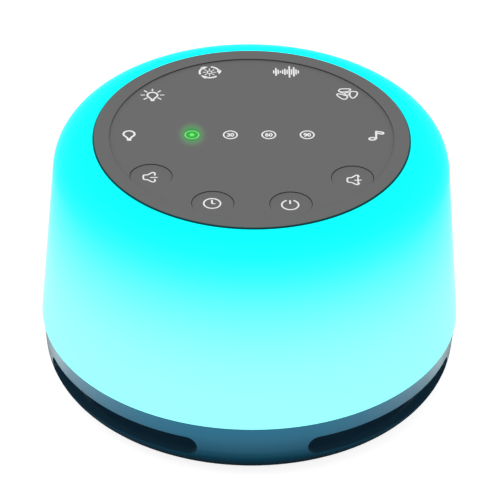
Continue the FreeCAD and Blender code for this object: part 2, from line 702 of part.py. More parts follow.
def make_inlet():
    """Inlet board with its socket in the rear wall and the ribbon's lower connector."""
    body = new_body("power_board")
    middle = power_board_edge - s.power_board_length / 2
    sketch = new_sketch(body, lift=power_board_under)
    draw_box(sketch, 0, middle, s.power_board_width, s.power_board_length)
    for side in (-1, 1):
        draw_circle(sketch, s.standoff_spacing * side / 2, power_board_row, small_passage)
    padded(body, sketch, s.board_thickness)

    body = new_body("power_board_screws")
    for side in (-1, 1):
        shank, head = s.small_screw_radius, s.small_head_radius
        tip = power_board_top - s.short_screw_length
        back = power_board_top + s.head_height
        sketch = new_sketch(body, lift=tip)
        draw_circle(sketch, s.standoff_spacing * side / 2, power_board_row, shank)
        padded(body, sketch, s.short_screw_length)
        sketch = new_sketch(body, lift=power_board_top)
        draw_circle(sketch, s.standoff_spacing * side / 2, power_board_row, head)
        padded(body, sketch, back - power_board_top)

    body = new_body("usb_c_shell")
    sketch = new_sketch(body, "XZ_Plane", lift=-socket_mouth)
    draw_round_ended(sketch, 0, socket_middle, s.socket_width, s.socket_height)
    padded(body, sketch, s.socket_length)
    sketch = new_sketch(body, "XZ_Plane", lift=-socket_mouth)
    inside_width = s.socket_width - s.socket_wall * 2
    draw_round_ended(sketch, 0, socket_middle, inside_width, s.socket_height - s.socket_wall * 2)
    pocketed(body, sketch, s.socket_length - s.socket_wall, forward=True)

    body = new_body("usb_c_tongue")
    back = socket_mouth - s.socket_length + s.socket_wall
    sketch = new_sketch(body, "XZ_Plane", lift=-(back + s.tongue_length))
    draw_box(sketch, 0, socket_middle, s.tongue_width, s.tongue_thickness)
    padded(body, sketch, s.tongue_length)

    box_piece("power_connector", ZERO, power_plug_row, s.plug_width, s.plug_depth, power_board_top,
              s.plug_height)


def box_piece(label, across, along, width, depth, under, height):
    body = new_body(label)
    sketch = new_sketch(body, lift=under)
    draw_box(sketch, across, along, width, depth)
    padded(body, sketch, height)
    return body


def make_chassis():
    """White tube that stands on the baffle, reflects the lamp's light and carries the control board."""
    body = new_body("chassis")
    corners = [
        (chassis_bore, baffle_top), (lamp_board_radius, baffle_top), (lamp_board_radius, flange_top),
        (chassis_radius, flange_top), (chassis_radius, board_under), (chassis_opening, board_under),
        (chassis_opening, chassis_top_under), (chassis_bore, chassis_top_under),
    ]
    turned(body, corners)
    sketch = new_sketch(body, lift=flange_top)
    draw_circle(sketch, *on_circle(chassis_screw_circle, 0), s.boss_radius)
    repeated(body, [padded(body, sketch, s.boss_height)], 4)
    depth = s.screw_length - s.baffle_thickness + s.tip_gap
    drilled(body, chassis_screw_circle, 0, 4, s.screw_radius + s.thread_gap, baffle_top + depth, depth)
    drilled(body, panel_boss_circle, 0, 5, small_passage, board_under, s.chassis_wall)
    drilled(body, lamp_circle, 15, 4, small_pilot, flange_top, s.chassis_wall)
    sketch = new_sketch(body, "XZ_Plane", turn=as_size(LAMP_LEAD_ANGLE))
    draw_box(sketch, 0, lamp_board_top + s.lead_window, s.lead_window, s.lead_window)
    pocketed(body, sketch, chassis_radius + 1, forward=True)


def make_lamp():
    """Ring board with colour LEDs round the foot of the chassis."""
    body = plate("led_board", lamp_board_radius, flange_top, s.board_thickness, lamp_board_bore)
    drilled(body, lamp_circle, 15, 4, small_passage, lamp_board_top, s.board_thickness)
    body = new_body("ring_leds")
    sketch = new_sketch(body, lift=lamp_board_top)
    draw_box(sketch, 0, -lamp_circle, s.lamp_size, s.lamp_size)
    repeated(body, [padded(body, sketch, s.lamp_height)], s.lamp_count)
    screws("led_board_screws", lamp_circle, 15, 4, lamp_board_top, s.short_screw_length,
           s.small_screw_radius, s.small_head_radius, up=-1)


def make_shade():
    """Milky shade: leaning wall, round shoulder, and a ledge that the panel's rim holds down."""
    body = new_body("diffuser_shade")
    inner_round = s.shoulder_radius - s.shade_wall
    ledge_top = panel_under
    ledge_under = panel_under - s.ledge_thickness
    rise = ledge_under - shoulder_middle
    inner_edge = shoulder_middle_radius + root(inner_round * inner_round - rise * rise)
    inner_start = shoulder_middle + inner_round * sine(s.shade_draft_angle)
    inner_start_radius = shoulder_middle_radius + inner_round * cosine(s.shade_draft_angle)
    foot_bore = inner_start_radius + (inner_start - seam) * draft_slope
    corners = [
        (seam_radius, seam), (shoulder_start_radius, shoulder_start), (shoulder_middle_radius, shade_top),
        (panel_hole_radius, shade_top), (panel_hole_radius, ledge_top), (ledge_radius, ledge_top),
        (ledge_radius, ledge_under), (inner_edge, ledge_under), (inner_start_radius, inner_start),
        (foot_bore, seam),
    ]
    turned(body, corners, {1: (s.shoulder_radius, 1), 7: (inner_round, -1)})


KEYS = [("volume_down", -1.57), ("timer", -0.54), ("power", 0.49), ("volume_up", 1.52)]
TOUCH_STEPS = [2.5, 3.5, 4.5, -4.5, -3.5, -2.5]
INDICATOR_STEPS = [-1.5, -0.5, 0.5, 1.5]
CHIP_OUTLINES = [(-5, -5, 7, 7), (5, -4, 5, 3.6), (-7, 6, 4, 5)]
CAPACITOR = (5, 4, 3.1)


def key_place(steps):
    return on_circle(key_circle, s.legend_angle * steps)


def legend_place(steps):
    return on_circle(legend_circle, s.legend_angle * steps)


def make_control_panel():
    """Grey panel: chamfered rim, shallow dish, round holes for the keys and screw bosses underneath."""
    body = new_body("control_panel")
    corners = [
        (ZERO, panel_under), (panel_radius, panel_under), (panel_radius, panel_top - s.panel_edge),
        (panel_radius - s.panel_edge, panel_top), (dish_radius, panel_top),
        (dish_radius, dish_floor), (ZERO, dish_floor),
    ]
    turned(body, corners)
    sketch = new_sketch(body, lift=dish_floor)
    for _, steps in KEYS:
        draw_circle(sketch, *key_place(steps), key_hole_radius)
    pocketed(body, sketch, dish_floor - panel_under)
    sketch = new_sketch(body, lift=board_top)
    draw_circle(sketch, *on_circle(panel_boss_circle, 0), s.panel_boss_radius)
    repeated(body, [padded(body, sketch, s.control_depth)], 5)
    depth = s.panel_screw_length - s.control_board_thickness - s.chassis_wall + s.tip_gap
    drilled(body, panel_boss_circle, 0, 5, small_pilot, board_top + depth, depth)


def make_keys():
    """Dished key caps, each with a flange under the panel and a stem on its own click switch."""
    for name, steps in KEYS:
        across, along = key_place(steps)
        body = new_body("key_" + name)
        cap_top = dish_floor - s.key_sunk
        flange_high = panel_under - s.key_clearance
        flange_low = flange_high - s.key_flange_thickness
        stem_low = board_top + s.switch_height + s.plunger_proud
        hollow_radius = (s.key_radius * s.key_radius + s.key_hollow * s.key_hollow) / (s.key_hollow * 2)
        turned(body, [
            (ZERO, stem_low), (s.key_stem_radius, stem_low), (s.key_stem_radius, flange_low),
            (key_flange_radius, flange_low), (key_flange_radius, flange_high), (s.key_radius, flange_high),
            (s.key_radius, cap_top), (ZERO, cap_top - s.key_hollow),
        ], {6: (hollow_radius, -1)})
        move_body(body, across, along)
        plunger = plate("plunger_" + name, s.plunger_radius, stem_low - s.plunger_proud - s.plunger_sunk,
                        s.plunger_proud + s.plunger_sunk)
        move_body(plunger, across, along)


def move_body(body, across, along):
    bind(body, "Placement.Base.x", across)
    bind(body, "Placement.Base.y", along)


def make_control_board():
    """Control board with switches, chips, LEDs and the sockets underneath."""
    body = plate("control_board", control_board_radius, board_under, s.control_board_thickness)
    drilled(body, panel_boss_circle, 0, 5, small_passage, board_top, s.control_board_thickness)

    body = new_body("switch_housings")
    sketch = new_sketch(body, lift=board_top)
    for _, steps in KEYS:
        draw_box(sketch, *key_place(steps), s.switch_size, s.switch_size)
    padded(body, sketch, s.switch_height)
    sketch = new_sketch(body, lift=board_top + s.switch_height)
    for _, steps in KEYS:
        draw_circle(sketch, *key_place(steps), s.plunger_radius + s.plunger_gap)
    pocketed(body, sketch, s.plunger_sunk + s.key_travel + s.loose_gap)

    body = new_body("indicator_leds")
    sketch = new_sketch(body, lift=board_top)
    for step in INDICATOR_STEPS:
        draw_box(sketch, s.indicator_pitch * step, s.indicator_row, s.small_lamp, s.small_lamp / 2)
    padded(body, sketch, s.small_lamp_height)
    body = new_body("symbol_leds")
    sketch = new_sketch(body, lift=board_top)
    for steps in TOUCH_STEPS:
        draw_box(sketch, *legend_place(steps), s.small_lamp, s.small_lamp / 2)
    padded(body, sketch, s.small_lamp_height)

    body = new_body("control_chips")
    sketch = new_sketch(body, lift=board_under - s.chip_height)
    for across, along, width, depth in CHIP_OUTLINES:
        draw_box(sketch, across, along, width, depth)
    padded(body, sketch, s.chip_height)
    body = new_body("buffer_capacitor")
    sketch = new_sketch(body, lift=board_under - s.capacitor_height)
    draw_circle(sketch, *CAPACITOR)
    padded(body, sketch, s.capacitor_height)

    plug_under = board_under - s.plug_height
    box_piece("control_connector", ZERO, plug_reach, s.plug_width, s.plug_depth, plug_under, s.plug_height)
    box_piece("speaker_connector", plug_reach, ZERO, s.plug_depth, s.lead_spacing * 2, plug_under,
              s.plug_height)


def make_seal():
    """Black light seal on the board, touch film under the panel, and its copper pads."""
    pads_under = film_under - s.pad_thickness
    depth = pads_under - board_top
    boss_hole = s.panel_boss_radius + s.fit_gap
    body = plate("light_seal", seal_radius, board_top, depth)
    sketch = new_sketch(body, lift=pads_under)
    for _, steps in KEYS:
        draw_circle(sketch, *key_place(steps), key_flange_radius + s.loose_gap)
    pocketed(body, sketch, depth)
    sketch = new_sketch(body, lift=pads_under)
    for steps in TOUCH_STEPS:
        draw_circle(sketch, *legend_place(steps), s.window_radius)
    for step in INDICATOR_STEPS:
        draw_circle(sketch, s.indicator_pitch * step, s.indicator_row, s.indicator_radius)
    pocketed(body, sketch, depth)
    drilled(body, panel_boss_circle, 0, 5, boss_hole, pads_under, depth)

    body = plate("touch_film", seal_radius, film_under, s.film_thickness)
    sketch = new_sketch(body, lift=panel_under)
    for _, steps in KEYS:
        draw_circle(sketch, *key_place(steps), key_flange_radius + s.loose_gap)
    pocketed(body, sketch, s.film_thickness)
    drilled(body, panel_boss_circle, 0, 5, boss_hole, panel_under, s.film_thickness)

    body = new_body("touch_pads")
    sketch = new_sketch(body, lift=pads_under)
    for steps in TOUCH_STEPS:
        draw_circle(sketch, *legend_place(steps), s.pad_radius)
        draw_circle(sketch, *legend_place(steps), s.window_radius)
    padded(body, sketch, s.pad_thickness)


def bent_path(points, bend):
    """Straight runs joined by tangent arcs of one radius, less where a run is too short for it."""
    edges = []
    here = points[0]
    for before, corner, after in zip(points, points[1:], points[2:]):
        back = (before - corner).normalize()
        on = (after - corner).normalize()
        half_turn = (math.pi - back.getAngle(on)) / 2
        room = 0.45 * min((before - corner).Length, (after - corner).Length)
        radius = min(bend, room / math.tan(half_turn))
        reach = radius * math.tan(half_turn)
        start, end = corner + back * reach, corner + on * reach
        to_middle = (back + on).normalize() * (radius / math.cos(half_turn) - radius)
        edges.append(Part.LineSegment(here, start).toShape())
        edges.append(Part.Arc(start, corner + to_middle, end).toShape())
        here = end
    edges.append(Part.LineSegment(here, points[-1]).toShape())
    return Part.Wire(edges)


def swept(points, bend, section):
    """The solid that a section at the path's start makes along it."""
    return bent_path(points, bend).makePipeShell([section], True, False)


def add_shape(label, shape):
    feature = doc.addObject("Part::Feature", label)
    feature.Label = label
    feature.Shape = shape
    return feature


def make_cables():
    """Ribbon from the inlet board to the control board, and leads from the speaker and the lamp to it."""
    low = power_board_top.number + s.plug_height.number
    under = low + s.plug_clear.number
    rise = ribbon_rise.number
    top = board_under.number - s.plug_height.number
    turn_in = top - s.cable_drop.number
    route = [
        (power_plug_row.number, low), (power_plug_row.number, under), (rise, under),
        (rise, turn_in), (plug_reach.number, turn_in), (plug_reach.number, top),
    ]
    points = [FreeCAD.Vector(0, along, up) for along, up in route]
    half_width, half_thickness = s.ribbon_width.number / 2, s.ribbon_thickness.number / 2
    corners = [
        FreeCAD.Vector(x * half_width, power_plug_row.number + y * half_thickness, low)
        for x, y in ((-1, -1), (1, -1), (1, 1), (-1, 1), (-1, -1))
    ]
    add_shape("ribbon_cable", swept(points, s.ribbon_bend.number, Part.makePolygon(corners)))

    start = terminal_across.number
    low = flange_back.number + s.terminal_height.number
    plug = plug_reach.number
    past_magnet = yoke_back.number + s.lead_radius.number * 2
    end_run = (top - past_magnet) / 3
    add_shape("speaker_leads", lead_pair([
        (start, low), (start, past_magnet), (plug, top - end_run), (plug, top),
    ], 0))

    start = lamp_lead_circle.number
    low = lamp_board_top.number
    window = low + s.lead_window.number
    inside = chassis_bore.number - s.lead_window.number
    add_shape("lamp_lead", lead_pair([
        (start, low), (start, window), (inside, window), (inside, turn_in), (plug, turn_in),
        (plug, board_under.number),
    ], LAMP_LEAD_ANGLE - 90))


def lead_pair(route, turn):
    """Two leads side by side along a route of (out from the middle, up), turned about the upright axis."""
    leads = []
    for side in (-1, 1):
        along = side * s.lead_spacing.number / 2
        points = [FreeCAD.Vector(across, along, up) for across, up in route]
        section = Part.Wire(Part.makeCircle(s.lead_radius.number, points[0], FreeCAD.Vector(0, 0, 1)))
        leads.append(swept(points, s.lead_bend.number, section))
    pair = Part.makeCompound(leads)
    pair.rotate(FreeCAD.Vector(), FreeCAD.Vector(0, 0, 1), turn)
    return pair


def make_long_screws():
    """Screws that reach through one piece into the next."""
    screws("panel_screws", panel_boss_circle, 0, 5, chassis_top_under, s.panel_screw_length,
           s.small_screw_radius, s.small_head_radius)
    screws("base_screws", post_circle, 45, 4, base_bottom + s.head_height, s.screw_length - s.head_height,
           s.screw_radius, s.head_radius)
    screws("chassis_screws", chassis_screw_circle, 0, 4, baffle_under, s.screw_length, s.screw_radius,
           s.head_radius)


make_feet()
make_bottom_cover()
make_base_housing()
make_speaker_baffle()
make_speaker()
make_inlet()
make_chassis()
make_lamp()
make_shade()
make_control_panel()
make_keys()
make_control_board()
make_seal()
make_cables()
make_long_screws()

doc.recompute()


def sub_parts():
    """Every object that stands for a piece: the bodies, and the cables' shapes."""
    return [o for o in doc.Objects if o.TypeId in ("PartDesign::Body", "Part::Feature")]


failed = [o.Name for o in doc.Objects if "Invalid" in o.State or "Error" in o.State]
if failed:
    raise RuntimeError(f"these objects failed: {failed}")
for piece in sub_parts():
    if piece.Shape.isNull() or not piece.Shape.isValid() or piece.Shape.Volume <= 0:
        raise RuntimeError(f"{piece.Label} has no valid solid")

os.makedirs("parts", exist_ok=True)
for piece in sub_parts():
    piece.Shape.exportStep(os.path.join("parts", piece.Label + ".step"))
    print(piece.Label, len(piece.Shape.Solids), round(piece.Shape.Volume, 2))
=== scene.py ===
import json
import math
from functools import cache

import bpy
import numpy as np
from bpy.props import FloatProperty, FloatVectorProperty, PointerProperty
from mathutils import Matrix, Vector


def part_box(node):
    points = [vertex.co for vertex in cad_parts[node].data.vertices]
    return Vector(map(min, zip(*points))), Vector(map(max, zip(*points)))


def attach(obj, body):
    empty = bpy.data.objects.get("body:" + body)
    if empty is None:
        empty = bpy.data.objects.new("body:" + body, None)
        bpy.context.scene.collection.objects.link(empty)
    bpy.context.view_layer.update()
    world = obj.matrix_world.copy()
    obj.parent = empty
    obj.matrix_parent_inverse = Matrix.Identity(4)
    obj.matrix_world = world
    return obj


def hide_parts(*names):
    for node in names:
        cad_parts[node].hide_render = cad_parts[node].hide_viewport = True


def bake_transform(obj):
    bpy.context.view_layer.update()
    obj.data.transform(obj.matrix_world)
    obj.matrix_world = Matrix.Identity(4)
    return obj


bl_info = {
    "name": "Bedside sound machine",
    "version": (1, 0, 0),
    "blender": (4, 5, 0),
    "location": "View3D > Sidebar > Sound machine",
    "description": "Finishes, symbols and studio of a round bedside sound machine with a glowing shade",
    "category": "Object",
}

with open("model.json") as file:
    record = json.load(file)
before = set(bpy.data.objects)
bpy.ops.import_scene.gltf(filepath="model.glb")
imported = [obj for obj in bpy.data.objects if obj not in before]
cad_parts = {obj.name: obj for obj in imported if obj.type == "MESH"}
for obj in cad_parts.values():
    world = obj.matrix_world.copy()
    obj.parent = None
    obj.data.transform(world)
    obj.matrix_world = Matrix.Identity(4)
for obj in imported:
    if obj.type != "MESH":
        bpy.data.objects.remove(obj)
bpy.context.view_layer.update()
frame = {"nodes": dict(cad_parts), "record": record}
MM = 0.001


# Sizes and colours

class ShadeSettings(bpy.types.PropertyGroup):
    """The glowing shade."""

    glow: FloatProperty(
        name="Glow", description="Light that the shade gives off by itself", default=0.62,
        min=0.0, soft_max=2.0)
    foot_red: FloatProperty(
        name="Red at the foot", description="Red share of the light at the foot of the shade",
        default=0.285, min=0.0, max=1.0)
    top_red: FloatProperty(
        name="Red at the top", description="Red share of the light at the top of the shade",
        default=0.002, min=0.0, max=1.0)
    roughness: FloatProperty(
        name="Roughness", description="Satin of the milky plastic", default=0.45,
        min=0.0, max=1.0, subtype="FACTOR")
    opening_gap: FloatProperty(
        name="Opening gap", description="Clearance between the panel and the shade's opening",
        default=0.15 * MM, unit="LENGTH")
    opening_edge: FloatProperty(
        name="Opening edge", description="Width over which the shade beside that gap comes into the light",
        default=0.35 * MM, unit="LENGTH")
    opening_colour: FloatVectorProperty(
        name="Opening colour", description="Shade's wall inside that gap, which gets no light",
        default=(0.003, 0.075, 0.075), size=3, min=0.0, max=1.0, subtype="COLOR")


class BaseSettings(bpy.types.PropertyGroup):
    """The slotted base ring and the cover under it."""

    # Near the shade the base's colour is partly its own plastic and partly painted glow of the shade.
    colour: FloatVectorProperty(
        name="Colour", description="Plastic of the base near the shade", default=(0.000, 0.222, 0.392),
        size=3, min=0.0, max=1.0, subtype="COLOR")
    # Painted shade: the base darkens towards the table.
    foot_shade_colour: FloatVectorProperty(
        name="Foot colour", description="Plastic of the base near the table", default=(0.002, 0.010, 0.022),
        size=3, min=0.0, max=1.0, subtype="COLOR")
    # Painted reflection: the base whitens where it is seen at a low angle.
    painted_reflection_colour: FloatVectorProperty(
        name="Haze colour", description="Base where it is seen at a low angle", default=(0.70, 0.93, 1.00),
        size=3, min=0.0, max=1.0, subtype="COLOR")
    # Dark plastic of the cover; on the base it is painted shade in the slots and inside.
    inside_and_shade_colour: FloatVectorProperty(
        name="Inside colour", description="Cover, slots and inside of the base",
        default=(0.006, 0.020, 0.032), size=3, min=0.0, max=1.0, subtype="COLOR")
    inside_light: FloatVectorProperty(
        name="Inside light", description="Light of the lamps that reaches the inside of the base",
        default=(0.003, 0.011, 0.019), size=3, min=0.0, max=1.0, subtype="COLOR")


class PanelSettings(bpy.types.PropertyGroup):
    """The control panel with its keys."""

    colour: FloatVectorProperty(
        name="Colour", description="Moulded grey plastic", default=(0.148, 0.149, 0.149),
        size=3, min=0.0, max=1.0, subtype="COLOR")
    # Painted shadow on the panel's outer wall, tinted by painted light from the glowing shade.
    wall_shadow_colour: FloatVectorProperty(
        name="Wall colour", description="Outer wall of the panel, tinted by the shade beside it",
        default=(0.008, 0.055, 0.057), size=3, min=0.0, max=1.0, subtype="COLOR")
    # Painted shade on the panel's upright steps.
    step_shade: FloatProperty(
        name="Step shade", description="How much darker upright steps are than the panel's top",
        default=0.6, min=0.0, max=1.0, subtype="FACTOR")
    dish_depth: FloatProperty(
        name="Dish depth", description="Rim of the panel down to its dish",
        default=0.35 * MM, unit="LENGTH")
    key_hollow: FloatProperty(
        name="Key hollow", description="Depth of the finger hollow in each key",
        default=0.3 * MM, unit="LENGTH")
    key_radius: FloatProperty(
        name="Key radius", description="Radius of a key cap", default=5.15 * MM, unit="LENGTH")


class SymbolSettings(bpy.types.PropertyGroup):
    """The raised lit symbols."""

    indicator_pitch: FloatProperty(
        name="Indicator pitch", description="Distance between neighbouring timer indicators",
        default=9.57 * MM, unit="LENGTH")
    indicator_row: FloatProperty(
        name="Indicator row", description="How far behind the middle the indicators lie",
        default=1.5 * MM, unit="LENGTH")
    indicator_shift: FloatProperty(
        name="Indicator shift", description="How far to the right of the middle the indicators lie",
        default=-0.5 * MM, unit="LENGTH")
    stroke: FloatProperty(
        name="Stroke", description="Width of a symbol's line", default=0.5 * MM, unit="LENGTH")
    height: FloatProperty(
        name="Height", description="How far a symbol stands above the panel",
        default=0.05 * MM, unit="LENGTH")
    window_radius: FloatProperty(
        name="Window radius", description="Radius of the lit indicator's window",
        default=1.6 * MM, unit="LENGTH")
    white: FloatVectorProperty(
        name="White", description="Colour of the unlit symbols", default=(0.80, 0.80, 0.80),
        size=3, min=0.0, max=1.0, subtype="COLOR")
    lit: FloatVectorProperty(
        name="Lit green", description="Ring of the indicator that is on", default=(0.085, 0.42, 0.10),
        size=3, min=0.0, max=1.0, subtype="COLOR")
    window: FloatVectorProperty(
        name="Window green", description="Window inside that ring", default=(0.010, 0.225, 0.018),
        size=3, min=0.0, max=1.0, subtype="COLOR")
    halo_colour: FloatVectorProperty(
        name="Halo colour", description="Light that shines through the panel round the ring",
        default=(0.0, 1.0, 0.03), size=3, min=0.0, max=1.0, subtype="COLOR")
    halo: FloatProperty(
        name="Halo", description="Half the width of that light", default=3.0 * MM, unit="LENGTH")
    halo_shift: FloatProperty(
        name="Halo shift", description="How far behind the ring's middle that light's middle lies",
        default=0.2 * MM, unit="LENGTH")
    halo_strength: FloatProperty(
        name="Halo strength", description="Strength of that light", default=0.19, min=0.0)
    white_strength: FloatProperty(
        name="White strength", description="Light of the unlit symbols", default=0.25, min=0.0)
    lit_strength: FloatProperty(
        name="Lit strength", description="Light of the lit ring and its window", default=0.9, min=0.0)


class StageSettings(bpy.types.PropertyGroup):
    """Camera, lamps and floor."""

    lens: FloatProperty(name="Lens", description="Focal length in millimetres", default=431.6, min=1.0)
    distance: FloatProperty(
        name="Distance", description="Camera to the foot of the object", default=1.5305, unit="LENGTH")
    elevation: FloatProperty(
        name="Elevation", description="Camera above the table's plane", default=math.radians(36.12),
        subtype="ANGLE")
    heading: FloatProperty(
        name="Heading", description="Camera turned about the object, to its left where negative",
        default=math.radians(-1.45), subtype="ANGLE")
    roll: FloatProperty(
        name="Roll", description="Camera turned about its own axis", default=0.0138, subtype="ANGLE")
    aim_across: FloatProperty(
        name="Aim across", description="Middle of the picture beside the foot, as a share of the distance",
        default=-0.17 / 5994)
    aim_up: FloatProperty(
        name="Aim up", description="Middle of the picture above the foot, as a share of the distance",
        default=111.2 / 5994)
    ambient: FloatProperty(
        name="Ambient", description="Strength of the even light from all sides", default=0.72, min=0.0)
    lamp_power: FloatProperty(
        name="Lamp power", description="Power of the wide lamp overhead, in watts", default=6.0, min=0.0)
    lamp_width: FloatProperty(
        name="Lamp width", description="Diameter of that lamp", default=1.4, unit="LENGTH")
    lamp_place: FloatVectorProperty(
        name="Lamp place", description="Middle of that lamp, which points at the object",
        default=(-0.5, -0.6, 1.6), size=3, subtype="TRANSLATION")
    floor_lift: FloatProperty(
        name="Floor lift", description="Strength added to the floor as the camera sees it",
        default=0.84, min=0.0)
    floor_colour: FloatVectorProperty(
        name="Floor colour", description="Colour of the floor", default=(0.50, 0.50, 0.50),
        size=3, min=0.0, max=1.0, subtype="COLOR")
    # Painted shadow on the floor under the object.
    floor_shadow_colour: FloatVectorProperty(
        name="Floor under", description="Colour of the floor under the object", default=(0.10, 0.10, 0.10),
        size=3, min=0.0, max=1.0, subtype="COLOR")


class MachineSettings(bpy.types.PropertyGroup):
    """Every group of settings."""

    shade: PointerProperty(type=ShadeSettings)
    base: PointerProperty(type=BaseSettings)
    panel: PointerProperty(type=PanelSettings)
    symbols: PointerProperty(type=SymbolSettings)
    stage: PointerProperty(type=StageSettings)


# Shader building

def rgba(colour):
    """A colour with its alpha. A number stands for a grey."""
    return (*np.broadcast_to(colour, 3).tolist(), 1.0)


def feed(tree, socket, value):
    """Links a socket to another one, or gives it a value."""
    if isinstance(value, bpy.types.NodeSocket):
        tree.links.new(value, socket)
    else:
        socket.default_value = rgba(value) if socket.type == "RGBA" else value


def add_node(tree, kind, feeds=None, **settings):
    """A new node with those settings, and its inputs fed with sockets or values."""
    made = tree.nodes.new(kind)
    for name, value in settings.items():
        setattr(made, name, value)
    for socket, value in (feeds or {}).items():
        feed(tree, made.inputs[socket], value)
    return made


def math_node(tree, operation, *values):
    """Output of a Math node fed with sockets or numbers."""
    return add_node(tree, "ShaderNodeMath", dict(enumerate(values)), operation=operation).outputs[0]


def vector_node(tree, operation, *values, out="Vector"):
    """Output of a Vector Math node fed with sockets or vectors."""
    return add_node(tree, "ShaderNodeVectorMath", dict(enumerate(values)), operation=operation).outputs[out]


def object_place(tree):
    return tree.nodes.new("ShaderNodeTexCoord").outputs["Object"]


def object_normal(tree):
    return tree.nodes.new("ShaderNodeTexCoord").outputs["Normal"]


def upward(tree, vector):
    """Upward part of a vector."""
    return add_node(tree, "ShaderNodeSeparateXYZ", {0: vector}).outputs["Z"]


def from_axis(tree):
    """Level vector from the upright axis to the point."""
    return vector_node(tree, "MULTIPLY", object_place(tree), (1.0, 1.0, 0.0))


def share_between(tree, value, low, high):
    """Where a value lies between two others: 0 at the low one and 1 at the high one."""
    feeds = {"Value": value, "From Min": low, "From Max": high}
    return add_node(tree, "ShaderNodeMapRange", feeds).outputs["Result"]


def new_group(name, ins, outs):
    """An empty shader node group of numbers and vectors, with what it is given and what it puts out."""
    tree = bpy.data.node_groups.new(name, "ShaderNodeTree")
    for socket, value in ins.items():
        kind = "NodeSocketFloat" if isinstance(value, float) else "NodeSocketVector"
        tree.interface.new_socket(name=socket, in_out="INPUT", socket_type=kind).default_value = value
    for socket in outs:
        tree.interface.new_socket(name=socket, in_out="OUTPUT", socket_type="NodeSocketFloat")
    return tree, tree.nodes.new("NodeGroupInput").outputs, tree.nodes.new("NodeGroupOutput").inputs


@cache
def grain_group():
    """Fine moulded grain: a small noise over a smaller one, and a slow drift over the whole surface."""
    tree, given, made = new_group(
        "Moulded grain", {"Size": 0.5 * MM, "Drift size": 30 * MM}, ["Height", "Drift"])
    place = object_place(tree)
    heights = []
    for share, detail in ((1.0, 3.0), (0.37, 1.0)):
        scale = math_node(tree, "DIVIDE", 1.0, math_node(tree, "MULTIPLY", given["Size"], share))
        feeds = {"Vector": place, "Scale": scale, "Detail": detail, "Roughness": 0.6}
        heights.append(add_node(tree, "ShaderNodeTexNoise", feeds).outputs["Fac"])
    half = math_node(tree, "MULTIPLY", heights[1], 0.5)
    feed(tree, made["Height"], math_node(tree, "ADD", heights[0], half))
    scale = math_node(tree, "DIVIDE", 1.0, given["Drift size"])
    drift = add_node(tree, "ShaderNodeTexNoise", {"Vector": place, "Scale": scale, "Detail": 2.0})
    feed(tree, made["Drift"], drift.outputs["Fac"])
    return tree


@cache
def rise_group():
    """How far up a point is: 0 at the low height and 1 at the high one."""
    tree, given, made = new_group("Rise", {"Low": 0.0, "High": 1.0}, ["Share"])
    height = upward(tree, object_place(tree))
    feed(tree, made["Share"], share_between(tree, height, given["Low"], given["High"]))
    return tree


@cache
def reach_group():
    """How far out from the upright axis a point is: 0 at the near radius and 1 at the far one."""
    tree, given, made = new_group("Reach", {"Near": 0.0, "Far": 1.0}, ["Share"])
    radius = vector_node(tree, "LENGTH", from_axis(tree), out="Value")
    feed(tree, made["Share"], share_between(tree, radius, given["Near"], given["Far"]))
    return tree


@cache
def upright_group():
    """1 on upright walls and 0 on flat or gently sloping tops."""
    tree, _, made = new_group("Upright walls", {}, ["Share"])
    up = math_node(tree, "ABSOLUTE", upward(tree, object_normal(tree)))
    feed(tree, made["Share"], math_node(tree, "LESS_THAN", up, 0.4))
    return tree


@cache
def outward_group():
    """How far a surface faces away from the upright axis: 1 straight out, 0 up or down, -1 inwards."""
    tree, _, made = new_group("Outward", {}, ["Share"])
    away = vector_node(tree, "NORMALIZE", from_axis(tree))
    feed(tree, made["Share"], vector_node(tree, "DOT_PRODUCT", away, object_normal(tree), out="Value"))
    return tree


@cache
def halo_group():
    """Light that fades with the distance from a point, in shares of a radius along each axis.

    It is exp(-share^4).
    """
    tree, given, made = new_group("Halo", {"Middle": (0.0, 0.0, 0.0), "Radii": (1.0, 1.0, 1.0)}, ["Light"])
    away = vector_node(tree, "SUBTRACT", object_place(tree), given["Middle"])
    share = vector_node(tree, "LENGTH", vector_node(tree, "DIVIDE", away, given["Radii"]), out="Value")
    fall = math_node(tree, "MULTIPLY", math_node(tree, "POWER", share, 4.0), -1.0)
    feed(tree, made["Light"], math_node(tree, "EXPONENT", fall))
    return tree


